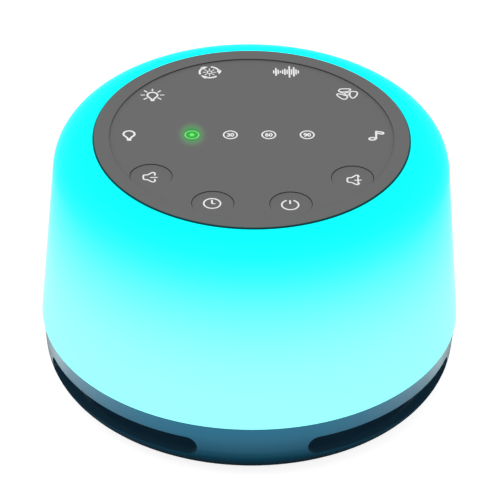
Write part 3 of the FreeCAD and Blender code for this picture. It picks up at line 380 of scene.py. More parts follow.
class Finish:
    """A new material with its Principled shader, and short ways to add nodes to it."""

    def __init__(self, name, colour, roughness, **sockets):
        self.material = bpy.data.materials.new(name)
        self.material.use_nodes = True
        self.tree = self.material.node_tree
        self.surface = self.tree.nodes["Principled BSDF"].inputs
        self.set("Base Color", colour)
        self.set("Roughness", roughness)
        for socket, value in sockets.items():
            self.set(socket.replace("_", " "), value)

    def set(self, socket, value):
        """Feeds an input of the shader with a socket or a value."""
        feed(self.tree, self.surface[socket], value)

    def glow(self, colour, strength):
        self.set("Emission Color", colour)
        self.set("Emission Strength", strength)

    def node(self, kind, feeds=None, **settings):
        return add_node(self.tree, kind, feeds, **settings)

    def group(self, tree, **values):
        """Outputs of a shared group, placed here with its own values."""
        feeds = {socket.replace("_", " "): value for socket, value in values.items()}
        return self.node("ShaderNodeGroup", feeds, node_tree=tree).outputs

    def place(self):
        return object_place(self.tree)

    def seen_aslant(self):
        """How far the surface is turned away from the viewer: 0 face on and 1 edge on."""
        return self.node("ShaderNodeLayerWeight", {"Blend": 0.5}).outputs["Facing"]

    def bump(self, height, strength, distance):
        made = self.node("ShaderNodeBump", {"Height": height, "Strength": strength, "Distance": distance})
        self.set("Normal", made.outputs["Normal"])

    def grain(self, size, strength, drift, colour):
        """Gives the finish moulded grain as bump, and a slow drift of its colour, which is returned."""
        grain = self.group(grain_group(), Size=size)
        self.bump(grain["Height"], strength, size * 0.25)
        base = np.array(colour)
        drifting = self.mixed(grain["Drift"], base * (1 - drift), np.minimum(base * (1 + drift), 1.0))
        self.set("Base Color", drifting)
        return drifting

    def mixed(self, share, first, second):
        """A colour from the first at share 0 to the second at share 1. Each is a colour or a socket."""
        feeds = {"Factor": share, "A": first, "B": second}
        return self.node("ShaderNodeMix", feeds, data_type="RGBA").outputs["Result"]

    def ramp(self, share, stops):
        """A colour ramp over a share, through (place, colour) stops."""
        made = self.node("ShaderNodeValToRGB", {"Fac": share})
        elements = made.color_ramp.elements
        elements.remove(elements[-1])
        elements[0].position = stops[0][0]
        elements[0].color = rgba(stops[0][1])
        for place, colour in stops[1:]:
            elements.new(place).color = rgba(colour)
        return made.outputs["Color"]


# Finishes

BLACK, WHITE = (0.0, 0.0, 0.0), (1.0, 1.0, 1.0)
# Painted sheen: white over the shade, by how aslant it is seen.
SHADE_PAINTED_SHEEN = [(0.5, 0.0), (0.7, 0.006), (0.85, 0.03), (0.93, 0.10), (1.0, 0.33)]
# Share of the upper colour along the base, from its foot to the seam: painted shade near the table, painted
# glow of the shade higher up, and painted shadow just under the seam.
BASE_LIGHT_AND_SHADE = [(0.0, 0.0), (0.2, 0.12), (0.5, 0.48), (0.8, 0.88), (0.965, 1.0), (0.985, 0.6)]
# Painted reflection over the base, by how aslant it is seen, and the heights between which it comes in.
BASE_PAINTED_REFLECTION = [(0.30, 0.0), (0.40, 0.025), (0.51, 0.09), (0.60, 0.17), (0.67, 0.28), (0.78, 0.75), (1.0, 1.0)]
PAINTED_REFLECTION_HEIGHTS = [(0.38, 0.0), (0.56, 1.0)]
# Share of painted green light on the panel near the lit indicator, by the strength of its light.
HALO_PAINTED_GREEN = [(0.5, 0.0), (0.77, 0.3), (0.92, 0.75), (1.0, 1.0)]


def shade_finish(settings):
    """Milky plastic lit from inside: pale near the lamps at its foot, pure cyan at its top.

    The red falls from the foot (0) to the top (1) as (1 - place^2.45)^2.05.
    """
    finish = Finish("Milky shade", (0.2, 0.95, 0.95), settings.roughness, Specular_IOR_Level=0.02)
    low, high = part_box("diffuser_shade")
    share = finish.group(rise_group(), Low=low.z, High=high.z)["Share"]
    span = settings.foot_red - settings.top_red
    stops = [(place, (settings.top_red + span * (1 - place ** 2.45) ** 2.05, 0.97, 0.98))
             for place in np.linspace(0, 1, 17).tolist()]
    # Painted sheen whitens the shade where it is seen aslant.
    colour = finish.mixed(finish.ramp(finish.seen_aslant(), SHADE_PAINTED_SHEEN), finish.ramp(share, stops), WHITE)
    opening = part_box("control_panel")[1].x + settings.opening_gap
    outside = finish.group(reach_group(), Near=opening, Far=opening + settings.opening_edge)["Share"]
    colour = finish.mixed(outside, settings.opening_colour, colour)
    finish.set("Base Color", colour)
    finish.glow(colour, settings.glow)
    finish.bump(finish.group(grain_group(), Size=0.9 * MM)["Height"], 0.05, 0.1 * MM)
    return finish.material


def base_finish(settings):
    """Satin plastic with painted glow of the shade near the seam; painted shade near the table, under the
    seam, in its slots and inside; and a painted reflection where it is seen aslant.
    """
    finish = Finish("Base plastic", settings.colour, 0.16, Specular_IOR_Level=0.3)
    foot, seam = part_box("base_housing")[0].z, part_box("diffuser_shade")[0].z
    share = finish.group(rise_group(), Low=foot, High=seam)["Share"]
    upper, lower = np.array(settings.colour), np.array(settings.foot_shade_colour)
    # Painted shade near the table and under the seam, painted glow of the shade higher up.
    outside = finish.ramp(share, [(place, lower + (upper - lower) * part) for place, part in BASE_LIGHT_AND_SHADE])
    # Painted reflection where the base is seen aslant, only above its foot.
    reflection_share = finish.ramp(finish.seen_aslant(), BASE_PAINTED_REFLECTION)
    reflection_share = math_node(finish.tree, "MULTIPLY", reflection_share, finish.ramp(share, PAINTED_REFLECTION_HEIGHTS))
    outside = finish.mixed(reflection_share, outside, settings.painted_reflection_colour)
    # Faces that do not face outwards get painted shade, and the painted light of the lamps inside.
    outer_side = share_between(finish.tree, finish.group(outward_group())["Share"], 0.12, 0.3)
    finish.set("Base Color", finish.mixed(outer_side, settings.inside_and_shade_colour, outside))
    finish.glow(finish.mixed(outer_side, settings.inside_light, BLACK), 1.0)
    finish.bump(finish.group(grain_group(), Size=0.25 * MM)["Height"], 0.06, 0.05 * MM)
    return finish.material


def cover_finish(settings):
    """Dark moulded plastic of the cover and the plates inside, with the little light that gets in."""
    finish = Finish("Cover plastic", settings.inside_and_shade_colour, 0.5)
    finish.grain(0.3 * MM, 0.15, 0.12, settings.inside_and_shade_colour)
    above = math_node(finish.tree, "GREATER_THAN", upward(finish.tree, object_normal(finish.tree)), -0.5)
    finish.glow(finish.mixed(above, BLACK, settings.inside_light), 1.0)
    return finish.material


def panel_finish(settings, symbols):
    """Matte grey plastic with fine grain, painted shade on its steps and outer wall, and green light round
    the lit indicator, also painted into its colour.
    """
    finish = Finish("Panel plastic", settings.colour, 0.62, Specular_IOR_Level=0.2)
    plain = finish.grain(0.22 * MM, 0.12, 0.015, settings.colour)
    colour = np.array(settings.colour)
    # Painted shade on upright steps.
    on_step = finish.group(upright_group())["Share"]
    plain = finish.mixed(on_step, plain, colour * (1 - settings.step_shade))
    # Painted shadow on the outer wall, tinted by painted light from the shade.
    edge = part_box("control_panel")[1].x
    wall = finish.group(reach_group(), Near=edge - 0.1 * MM, Far=edge - 0.04 * MM)["Share"]
    plain = finish.mixed(wall, plain, settings.wall_shadow_colour)
    across, along = indicator_places(symbols)[0]
    middle = (across, along + symbols.halo_shift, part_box("control_panel")[1].z - settings.dish_depth)
    radii = (symbols.halo * 0.95, symbols.halo * 1.47, symbols.halo)
    light = finish.group(halo_group(), Middle=middle, Radii=radii)["Light"]
    finish.glow(finish.ramp(light, [(0.0, BLACK), (1.0, symbols.halo_colour)]), symbols.halo_strength)
    # Painted green light of the indicator over the panel's colour.
    finish.set("Base Color", finish.mixed(finish.ramp(light, HALO_PAINTED_GREEN), plain, (0.02, colour[1], 0.05)))
    return finish.material


def symbol_finish(name, colour, strength):
    """Clear raised print with light behind it, a little uneven as a light well is."""
    finish = Finish(name, colour, 0.4)
    base = np.array(colour)
    drift = finish.group(grain_group(), Size=0.4 * MM, Drift_size=4 * MM)["Drift"]
    light = finish.ramp(drift, [(0.3, base * 0.92), (0.7, base)])
    finish.set("Base Color", light)
    finish.glow(light, strength)
    return finish.material


def window_finish(symbols, middle):
    """Window of the lit indicator: green plastic with its lamp brightest behind the middle."""
    finish = Finish("Lit window", symbols.window, 0.4, Specular_IOR_Level=0.12)
    radii = (0.65 * MM, 0.7 * MM, 1 * MM)
    light = finish.group(halo_group(), Middle=middle, Radii=radii)["Light"]
    window = np.array(symbols.window)
    colour = finish.ramp(light, [(0.0, window), (1.0, window * 2.0 + 0.075)])
    finish.set("Base Color", colour)
    finish.glow(colour, symbols.lit_strength)
    return finish.material


# Plain grained materials by slot: name, colour, roughness, size of the grain in millimetres, its strength,
# the drift of the colour, and other inputs of the shader.
GRAINED = {
    "black_plastic": ("Black plastic", (0.02, 0.02, 0.022), 0.45, 0.3, 0.2, 0.06, {}),
    "white_plastic": ("White plastic", (0.80, 0.80, 0.79), 0.4, 0.4, 0.1, 0.06, {}),
    "rubber": ("Black rubber", (0.022, 0.022, 0.022), 0.85, 0.35, 0.35, 0.35, {}),
    "ferrite": ("Sintered ferrite", (0.05, 0.05, 0.055), 0.6, 0.5, 0.5, 0.3, {}),
    "copper": ("Copper", (0.78, 0.38, 0.2), 0.3, 0.2, 0.1, 0.15, {"Metallic": 1.0}),
    "led_body": ("Lamp body", (0.8, 0.76, 0.5), 0.15, 0.3, 0.05, 0.1, {"Coat_Weight": 0.6}),
}


def grained_finish(name, colour, roughness, size, strength, drift, sockets):
    finish = Finish(name, colour, roughness, **sockets)
    finish.grain(size * MM, strength, drift, colour)
    return finish.material


def steel_finish():
    """Zinc-plated steel with fine drawn lines."""
    finish = Finish("Zinc steel", (0.62, 0.62, 0.64), 0.32, Metallic=1.0)
    drawn = finish.node("ShaderNodeMapping", {"Vector": finish.place(), "Scale": (1.0, 1.0, 0.12)})
    feeds = {"Vector": drawn.outputs["Vector"], "Scale": 900.0, "Detail": 4.0}
    lines = finish.node("ShaderNodeTexNoise", feeds).outputs["Fac"]
    finish.set("Roughness", finish.ramp(lines, [(0.3, 0.22), (0.7, 0.42)]))
    finish.bump(lines, 0.05, 0.02 * MM)
    return finish.material


def board_finish():
    """Green solder mask over a faint grid of tracks."""
    finish = Finish("Circuit board", (0.012, 0.11, 0.045), 0.28)
    tracks = finish.node("ShaderNodeTexBrick", {
        "Vector": finish.place(), "Color1": (0.010, 0.10, 0.040), "Color2": (0.016, 0.135, 0.055),
        "Mortar": (0.02, 0.17, 0.075), "Scale": 220.0, "Mortar Size": 0.03,
    })
    finish.set("Base Color", tracks.outputs["Color"])
    finish.bump(tracks.outputs["Fac"], 0.1, 0.03 * MM)
    return finish.material


def foam_finish():
    """Open-celled black foam."""
    finish = Finish("Black foam", (0.018, 0.018, 0.018), 0.95)
    cells = finish.node("ShaderNodeTexVoronoi", {"Vector": finish.place(), "Scale": 2200.0})
    cells = cells.outputs["Distance"]
    finish.set("Base Color", finish.ramp(cells, [(0.0, 0.006), (0.6, 0.03)]))
    finish.bump(cells, 0.7, 0.15 * MM)
    return finish.material


def paper_finish():
    """Pressed black paper with short fibres."""
    finish = Finish("Speaker paper", (0.03, 0.03, 0.032), 0.9)
    feeds = {"Vector": finish.place(), "Scale": 1600.0, "Detail": 6.0, "Roughness": 0.75}
    fibres = finish.node("ShaderNodeTexNoise", feeds).outputs["Fac"]
    finish.set("Base Color", finish.ramp(fibres, [(0.35, 0.02), (0.7, 0.055)]))
    finish.bump(fibres, 0.4, 0.1 * MM)
    return finish.material


# Symbol geometry

def arc(middle, radius, start, end, steps=40, squeeze=1.0):
    """Points at equal angles along a circle, from one angle to another in degrees."""
    angle = np.radians(np.linspace(start, end, steps))
    return np.stack([middle[0] + radius * np.cos(angle), middle[1] + radius * squeeze * np.sin(angle)], 1)


def line(*corners, steps=6):
    """Points evenly along the straight runs between corners."""
    corners = np.array(corners, float)
    share = np.linspace(0, 1, steps + 1)[:-1, None]
    runs = [a + (b - a) * share for a, b in zip(corners, corners[1:])]
    return np.concatenate(runs + [corners[-1:]])


def loop(middle, across, along, turn=0, steps=48):
    """A closed oval with the radii across and along, turned by an angle in degrees."""
    t = np.linspace(0, 2 * np.pi, steps, endpoint=False)
    x, y = across * np.cos(t), along * np.sin(t)
    c, s = math.cos(math.radians(turn)), math.sin(math.radians(turn))
    return np.stack([middle[0] + c * x - s * y, middle[1] + s * x + c * y], 1)


def smooth(corners, closed=False, steps=6):
    """Points on a smooth line through corners.

    Between two corners it is the cubic that meets both, whose slope at each corner is half of the way from
    the corner before to the corner after.
    """
    corners = np.array(corners, float)
    if closed:
        before, here = np.roll(corners, 1, 0), corners
        after, beyond = np.roll(corners, -1, 0), np.roll(corners, -2, 0)
    else:
        long = np.concatenate([2 * corners[:1] - corners[1:2], corners, 2 * corners[-1:] - corners[-2:-1]])
        before, here, after, beyond = long[:-3], long[1:-2], long[2:-1], long[3:]
    t = np.linspace(0, 1, steps, endpoint=False)[None, :, None]
    before, here, after, beyond = (part[:, None, :] for part in (before, here, after, beyond))
    path = here + 0.5 * t * (after - before) + 0.5 * t ** 2 * (2 * before - 5 * here + 4 * after - beyond) \
        + 0.5 * t ** 3 * (3 * here - before - 3 * after + beyond)
    path = path.reshape(-1, 2)
    return path if closed else np.concatenate([path, corners[-1:]])


def ribbon(path, half_width, thickness, closed):
    """A flat raised line along a path, with one half width or one for each point.

    Its edges are the path moved sideways by the half width. An open line is carried on at both ends
    by the half width, and narrows there as a half circle does: sqrt(half width squared - distance squared).
    The section is a low box whose top is narrower than its foot by the thickness on each side.
    """
    path = np.asarray(path, float)
    half = np.broadcast_to(half_width, len(path)).astype(float)
    if closed:
        way = np.roll(path, -1, 0) - np.roll(path, 1, 0)
    else:
        reach = np.sin(np.radians([85, 65, 45, 25, 8]))
        narrow = np.sqrt(1 - reach ** 2)
        first, last = path[0] - path[1], path[-1] - path[-2]
        first, last = first / np.linalg.norm(first), last / np.linalg.norm(last)
        head = path[0] + first * half[0] * reach[:, None]
        tail = path[-1] + last * half[-1] * reach[::-1, None]
        path = np.concatenate([head, path, tail])
        half = np.concatenate([narrow * half[0], half, narrow[::-1] * half[-1]])
        way = np.gradient(path, axis=0)
    way = way / np.linalg.norm(way, axis=1, keepdims=True)
    side = np.stack([-way[:, 1], way[:, 0]], 1)
    top_half = np.maximum(half - thickness, half * 0.4)
    rows = np.stack([path - side * half[:, None], path - side * top_half[:, None],
                     path + side * top_half[:, None], path + side * half[:, None]], 1)
    rise = np.broadcast_to([0.0, thickness, thickness, 0.0], rows.shape[:2])
    points = np.concatenate([rows, rise[..., None]], 2)
    return grid_faces(points, closed)


def grid_faces(rings, closed):
    """Vertices and four-cornered faces through rings of points. The ends are filled unless it is closed."""
    count, steps = rings.shape[:2]
    index = np.arange(count * steps).reshape(count, steps)
    down = np.roll(index, -1, 0)
    quads = np.stack([index, down, np.roll(down, -1, 1), np.roll(index, -1, 1)], -1)
    ends = [] if closed else [index[0].tolist(), index[-1][::-1].tolist()]
    return rings.reshape(-1, 3), quads[:None if closed else -1].reshape(-1, 4).tolist() + ends


def filled_disc(middle, radius, thickness, rings=6, steps=32):
    """A low round button: rings of points whose radius grows evenly, with a rounded edge."""
    angle = np.linspace(0, 2 * np.pi, steps, endpoint=False)
    share = np.linspace(0, 1, rings)[:, None]
    x = middle[0] + radius * share * np.cos(angle)
    y = middle[1] + radius * share * np.sin(angle)
    z = np.broadcast_to(thickness * np.sqrt(1 - share ** 2 * 0.999), x.shape)
    points = np.stack([x, y, z], -1)[1:]
    vertices = np.concatenate([[[middle[0], middle[1], thickness]], points.reshape(-1, 3)])
    ring = np.arange(steps) + 1
    faces = np.stack([np.zeros(steps, int), ring, np.roll(ring, -1)], 1).tolist()
    index = np.arange((rings - 1) * steps).reshape(rings - 1, steps) + 1
    inner, outer = index[:-1], index[1:]
    quads = np.stack([inner, outer, np.roll(outer, -1, 1), np.roll(inner, -1, 1)], -1)
    faces += quads.reshape(-1, 4).tolist()
    faces.append(index[-1][::-1].tolist())
    return vertices, faces


# Every symbol is a list of lines in millimetres, x to the right and y to the back:
# (points, closed, width in strokes).

def glass_line():
    """Outline of a lamp's glass about its middle: most of a circle, drawn in to the neck below."""
    glass = arc((0, 0), 1.38, -25, 205, 15)
    return [(0.40, -1.85), (0.62, -1.43), *glass, (-0.62, -1.43), (-0.40, -1.85)]


def bulb_lines():
    glass = smooth([(x, y + 0.68) for x, y in glass_line()])
    return [(glass, False, 1.0), (line((-0.36, -1.50), (0.36, -1.50)), False, 1.1),
            (line((-0.28, -2.02), (0.28, -2.02)), False, 1.1)]


def bright_bulb_lines():
    glass = smooth([(x * 0.93, y * 0.93) for x, y in glass_line()])
    lines = [(glass, False, 0.9), (line((-0.34, -2.02), (0.34, -2.02)), False, 0.9),
             (line((-0.28, -2.46), (0.28, -2.46)), False, 0.9), (line((0, 2.10), (0, 2.62)), False, 0.8)]
    for side in (-1, 1):
        lines.append((line((2.0 * side, 0.05), (2.88 * side, 0.05)), False, 0.6))
        lines.append((line((1.42 * side, 1.42), (1.98 * side, 1.98)), False, 0.75))
        lines.append((line((1.42 * side, -1.28), (2.10 * side, -1.84)), False, 0.78))
    return lines


def cycle_lines():
    """A sun inside three arcs that follow each other clockwise, each with a barb that runs to a point."""
    lines = []
    for start in (197, 77, -50):
        lines.append((arc((0, 0), 2.5, start, start - 66, 20), False, 1.05))
        lines.append((arc((0, 0), 2.5, start - 66, start - 95, 10), False, np.linspace(2.3, 0.25, 10)))
    lines.append((loop((0, 0), 0.62, 0.62, steps=24), True, 0.6))
    for turn in range(0, 360, 45):
        c, s = math.cos(math.radians(turn)), math.sin(math.radians(turn))
        lines.append((line((1.1 * c, 1.1 * s), (1.62 * c, 1.62 * s), steps=3), False, 0.55))
    return lines


def wave_lines():
    """Upright bars at equal steps, as long as the sound is loud."""
    heights = [1.4, 3.5, 2.1, 1.0, 1.9, 2.9, 2.0, 5.2, 2.5, 4.2, 2.5, 1.5]
    pitch = 0.565
    first = -pitch * (len(heights) - 1) / 2
    bars = [(line((first + pitch * i, 0.19 - h / 2), (first + pitch * i, h / 2 - 0.19)), h)
            for i, h in enumerate(heights)]
    return [(bar, False, 0.86 if h > 3 else 0.72) for bar, h in bars]


def fan_lines():
    """A hub with three blades, each a closed leaf that narrows towards the hub."""
    upper = [(-2.10, 1.54), (-1.67, 2.17), (-0.53, 2.32), (0.75, 2.22), (0.88, 1.75), (0.40, 1.22),
             (-0.30, 0.97), (-1.20, 0.86), (-1.85, 1.05)]
    right = [(0.74, 0.62), (1.08, 1.03), (1.65, 1.10), (2.20, 1.03), (2.55, 0.60), (2.52, -0.25),
             (2.10, -1.18), (1.58, -1.85), (1.26, -1.92), (0.91, -1.46), (0.68, -0.65)]
    lower = [(-2.60, -0.35), (-2.36, 0.0), (-1.67, -0.10), (-1.0, -0.45), (-0.33, -0.80), (0.05, -1.18),
             (-0.14, -1.95), (-0.53, -2.40), (-1.0, -2.42), (-1.58, -1.95), (-2.25, -1.14)]
    lines = [(smooth(leaf, True, 5), True, 0.74) for leaf in (upper, right, lower)]
    lines.append((loop((0, 0), 0.58, 0.58, steps=28), True, 0.6))
    lines.append((smooth([(-1.75, 0.80), (-1.15, 0.42), (-0.55, 0.18)]), False, 0.5))
    return lines


def note_lines():
    head = loop((-0.98, -1.34), 0.80, 0.56, 5)
    flag = smooth([(0.05, 1.95), (0.70, 1.80), (1.60, 1.58), (1.88, 1.18), (1.60, 0.78), (0.75, 0.95),
                   (0.08, 1.12)])
    return [(head, True, 0.95), (line((-0.02, -1.30), (0.05, 1.95)), False, 1.0), (flag, False, 0.95)]


def speaker_lines(plus):
    """A speaker in profile: box, horn with hooked rims, and a minus or plus in its mouth."""
    side = [(1.14, 0.95), (1.22, 1.52), (0.92, 2.03), (0.40, 1.95), (-0.37, 1.26), (-0.72, 1.05),
            (-1.35, 0.98), (-1.64, 0.68)]
    if plus:
        side = side[1:]
    horn = side + [(x, -y) for x, y in reversed(side)]
    lines = [(smooth(horn), False, 0.84), (line((0.16, -0.06), (1.72, -0.06)), False, 0.7)]
    if plus:
        lines.append((line((0.98, -1.75), (0.98, 1.75)), False, 0.75))
    return lines


def clock_lines():
    return [(loop((0, 0), 2.06, 2.06), True, 0.8), (line((-0.05, 1.30), (0, 0.05)), False, 0.95),
            (line((0.05, -0.02), (0.72, -0.10)), False, 0.6)]


def power_lines():
    return [(arc((0, 0), 2.06, 118, 422, 60), False, 0.82), (line((0, 0.62), (0, 1.72)), False, 0.95)]


def figure_lines(figure, middle, scale):
    """A numeral of the timer: rounds and strokes two units high about its middle."""
    lines = {
        "0": [(loop((0, 0), 0.58, 0.98, steps=28), True)],
        "3": [(arc((-0.05, 0.48), 0.5, 150, -80, 16), False),
              (arc((-0.05, -0.48), 0.54, 80, -150, 16), False)],
        "6": [(loop((0, -0.42), 0.58, 0.56, steps=24), True),
              (arc((0.12, -0.3), 0.72, 185, 80, 12, 1.75), False)],
        "9": [(loop((0, 0.42), 0.58, 0.56, steps=24), True),
              (arc((-0.12, 0.3), 0.72, 5, -100, 12, 1.75), False)],
    }[figure]
    scale = np.array([scale * 0.93, scale * 1.08])
    return [(np.asarray(points) * scale + np.array(middle), closed, 0.64) for points, closed in lines]


def ring_lines(number):
    lines = [(loop((0, 0), 1.69, 1.72), True, 0.76)]
    for i, figure in enumerate(number):
        lines += figure_lines(figure, (-0.47 + 0.94 * i, 0), 0.60)
    return lines


# Where the middle of each touch symbol lies on the panel, in millimetres.
TOUCH_SYMBOLS = {
    "bulb": ((-30.5, 1.2), bulb_lines), "bright_bulb": ((-24.6, 19.35), bright_bulb_lines),
    "cycle": ((-10.15, 29.8), cycle_lines), "wave": ((9.2, 29.95), wave_lines),
    "fan": ((24.35, 19.9), fan_lines), "note": ((31.0, 1.05), note_lines),
}
# Shift of each key's symbol from the middle of its cap, in millimetres.
KEY_SYMBOLS = {
    "volume_down": ((-0.22, 0.1), speaker_lines, (False,)), "timer": ((-0.16, 0.47), clock_lines, ()),
    "power": ((-0.19, 0.16), power_lines, ()), "volume_up": ((0.36, -0.36), speaker_lines, (True,)),
}


def indicator_places(settings):
    return [(settings.indicator_shift + settings.indicator_pitch * step, settings.indicator_row)
            for step in (-1.5, -0.5, 0.5, 1.5)]


def raised(lines, middle, settings, surface):
    """Raised lines about a place. surface(x, y) gives the height that they lie on."""
    parts = []
    for path, closed, strokes in lines:
        half_width = settings.stroke * strokes / 2
        points, faces = ribbon(np.asarray(path) * MM, half_width, settings.height, closed)
        points = points + np.array([middle[0], middle[1], 0.0])
        points[:, 2] += surface(points[:, 0], points[:, 1])
        parts.append((points, faces))
    return together(parts)


def together(parts):
    """One set of vertices and faces out of several."""
    firsts = np.cumsum([0] + [len(points) for points, _ in parts[:-1]])
    faces = [[i + int(first) for i in face] for first, (_, made) in zip(firsts, parts) for face in made]
    return np.concatenate([points for points, _ in parts]), faces


def mesh_from(name, vertices, faces, rounded=False):
    mesh = bpy.data.meshes.new(name)
    mesh.from_pydata(np.asarray(vertices).tolist(), [], faces)
    mesh.update()
    mesh.polygons.foreach_set("use_smooth", np.full(len(mesh.polygons), rounded))
    return mesh


def new_piece(name, mesh, material):
    """Puts a mesh into the scene, finished with that material."""
    piece = bpy.data.objects.new(name, mesh)
    bpy.context.scene.collection.objects.link(piece)
    mesh.materials.append(material)
    return piece


def add_print(name, vertices, faces, material, body="housing"):
    """Puts a print on the panel or a key into the scene, as a piece of that body."""
    piece = new_piece(name, mesh_from(name, vertices, faces), material)
    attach(piece, body)


def turned(name, below, above, steps=120):
    """A ring turned from a sheet's profile about the upright axis: x = r cos(angle), y = r sin(angle).

    below and above are rows of (r, z) from the axis outwards, the sheet's lower and upper side.
    """
    profile = np.concatenate([below, above[::-1]])
    angle = np.linspace(0, 2 * np.pi, steps, endpoint=False)[:, None]
    x, y = profile[:, 0] * np.cos(angle), profile[:, 0] * np.sin(angle)
    points = np.stack([x, y, np.broadcast_to(profile[:, 1], x.shape)], 2)
    return mesh_from(name, *grid_faces(points, True), rounded=True)


def make_surround(material):
    """The speaker's rubber edge: two flat lands with a half roll between them, round the cone's front.

    The roll hangs below the lands by depth * sqrt(1 - s^2), where s runs from -1 to 1 across it.
    """
    low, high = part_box("speaker_surround")
    sheet, glued, land = 0.5 * MM, 1.4 * MM, 1.7 * MM
    inner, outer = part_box("speaker_cone")[1].x - glued, high.x
    roll = np.array([inner + land, outer - land])
    across = np.concatenate([np.linspace(inner, roll[0], 4), np.linspace(*roll, 34)[1:-1],
                             np.linspace(roll[1], outer, 4)])
    share = np.clip((across - roll.mean()) / (roll[1] - roll[0]) * 2, -1, 1)
    under = high.z - sheet - (high.z - sheet - low.z) * np.sqrt(1 - share ** 2)
    below, above = np.stack([across, under], 1), np.stack([across, under + sheet], 1)
    piece = new_piece("surround_roll", turned("surround_roll", below, above), material)
    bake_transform(piece)
    place = np.empty(len(piece.data.vertices) * 3)
    piece.data.vertices.foreach_get("co", place)
    place = place.reshape(-1, 3)
    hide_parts("speaker_surround")


def make_spider(material):
    """The disc that centres the speaker's coil: a corrugated sheet with an upright collar at its rim.

    The disc's height waves by a cosine along the radius, five times from the coil to the collar.
    """
    low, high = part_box("speaker_spider")
    inner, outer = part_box("voice_coil")[1].x + 0.05 * MM, high.x
    sheet, band = 0.22 * MM, 0.5 * MM
    share = np.linspace(0, 1, 61)
    across = inner + (outer - band - inner) * share
    wave = low.z + band / 2 + (band - sheet) / 2 * np.cos(share * 5 * 2 * np.pi)
    turn = np.radians(np.linspace(-90, 0, 9))
    bend = [(outer - band + band * math.cos(a), low.z + band + band * math.sin(a)) for a in turn]
    wall = [(outer, z) for z in np.linspace(low.z + band, high.z, 12)[1:]]
    below = np.array([*zip(across, wave - sheet / 2), *bend[1:], *wall])
    inside = [(outer - sheet, z) for z in np.linspace(low.z + band, high.z, 12)]
    above = np.array([*zip(across, wave + sheet / 2), *inside])
    piece = new_piece("spider_disc", turned("spider_disc", below, above), material)
    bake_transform(piece)
    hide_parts("speaker_spider")


# Operators

def finish_nodes(names, material):
    """Gives solid nodes a material in place of the one that they came with."""
    for name in names:
        for slot in frame["nodes"][name].material_slots:
            slot.material = material


def nodes_of(slot, leave_out=()):
    """Solid nodes whose record states that material slot."""
    pairs = frame["record"]["subparts"]
    return [pair["node"] for pair in pairs
            if pair["material_slot"] == slot and pair["node"] not in leave_out]


class MACHINE_OT_shade(bpy.types.Operator):
    """Finish the glowing shade"""

    bl_idname = "machine.shade"
    bl_label = "Shade"

    def execute(self, context):
        settings = context.scene.machine
        finish_nodes(["diffuser_shade"], shade_finish(settings.shade))
        return {"FINISHED"}


class MACHINE_OT_base(bpy.types.Operator):
    """Finish the base ring, its cover and the speaker's baffle"""

    bl_idname = "machine.base"
    bl_label = "Base"

    def execute(self, context):
        settings = context.scene.machine.base
        finish_nodes(["base_housing"], base_finish(settings))
        finish_nodes(["bottom_cover", "speaker_baffle"], cover_finish(settings))
        return {"FINISHED"}


class MACHINE_OT_panel(bpy.types.Operator):
    """Finish the control panel and its keys"""

    bl_idname = "machine.panel"
    bl_label = "Panel and keys"

    def execute(self, context):
        settings = context.scene.machine
        finish_nodes(nodes_of("panel_grey"), panel_finish(settings.panel, settings.symbols))
        return {"FINISHED"}


class MACHINE_OT_inside(bpy.types.Operator):
    """Finish the speaker, boards, tube, seals, cables and screws"""

    bl_idname = "machine.inside"
    bl_label = "Inside"

    def execute(self, context):
        finishes = {slot: grained_finish(*values) for slot, values in GRAINED.items()}
        finishes.update(zinc_steel=steel_finish(), circuit_board=board_finish(), black_foam=foam_finish(),
                        speaker_paper=paper_finish())
        for slot, material in finishes.items():
            finish_nodes(nodes_of(slot, ("speaker_baffle",)), material)
        make_surround(finishes["rubber"])
        make_spider(finishes["speaker_paper"])
        return {"FINISHED"}


class MACHINE_OT_symbols(bpy.types.Operator):
    """Raise the touch symbols, the timer's rings and the symbols on the keys"""

    bl_idname = "machine.symbols"
    bl_label = "Symbols"

    def execute(self, context):
        settings = context.scene.machine
        symbols, panel = settings.symbols, settings.panel
        white = symbol_finish("Symbol white", symbols.white, symbols.white_strength)
        lit = symbol_finish("Symbol lit green", symbols.lit, symbols.lit_strength)
        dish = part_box("control_panel")[1].z - panel.dish_depth

        def on_dish(x, y):
            return np.full_like(x, dish)

        for name, (middle, lines) in TOUCH_SYMBOLS.items():
            add_print("symbol_" + name, *raised(lines(), np.array(middle) * MM, symbols, on_dish), white)
        first, *places = indicator_places(symbols)
        for number, place in zip(("30", "60", "90"), places):
            add_print("timer_" + number, *raised(ring_lines(number), place, symbols, on_dish), white)
        add_print("timer_lit", *raised(ring_lines(""), first, symbols, on_dish), lit)
        points, faces = filled_disc(first, symbols.window_radius, symbols.height * 0.8)
        points[:, 2] += dish
        add_print("timer_window", points, faces, window_finish(symbols, (*first, dish)))

        for name, (shift, lines, choice) in KEY_SYMBOLS.items():
            low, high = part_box("key_" + name)
            centre = np.array([low.x + high.x, low.y + high.y]) / 2

            def on_key(x, y, centre=centre, edge=high.z):
                share = ((x - centre[0]) ** 2 + (y - centre[1]) ** 2) / panel.key_radius ** 2
                return edge - panel.key_hollow * (1 - share)

            parts = raised(lines(*choice), centre + np.array(shift) * MM, symbols, on_key)
            add_print("symbol_" + name, *parts, white, "key_" + name)
        return {"FINISHED"}


class MACHINE_OT_stage(bpy.types.Operator):
    """Set the floor, the even light, the wide lamp and the camera"""

    bl_idname = "machine.stage"
    bl_label = "Stage"

    def execute(self, context):
        settings = context.scene.machine.stage
        make_world(context.scene, settings)
        make_floor(settings)
        make_lamp(context.scene, settings)
        make_camera(context.scene, settings)
        context.scene.view_settings.view_transform = "Standard"
        return {"FINISHED"}


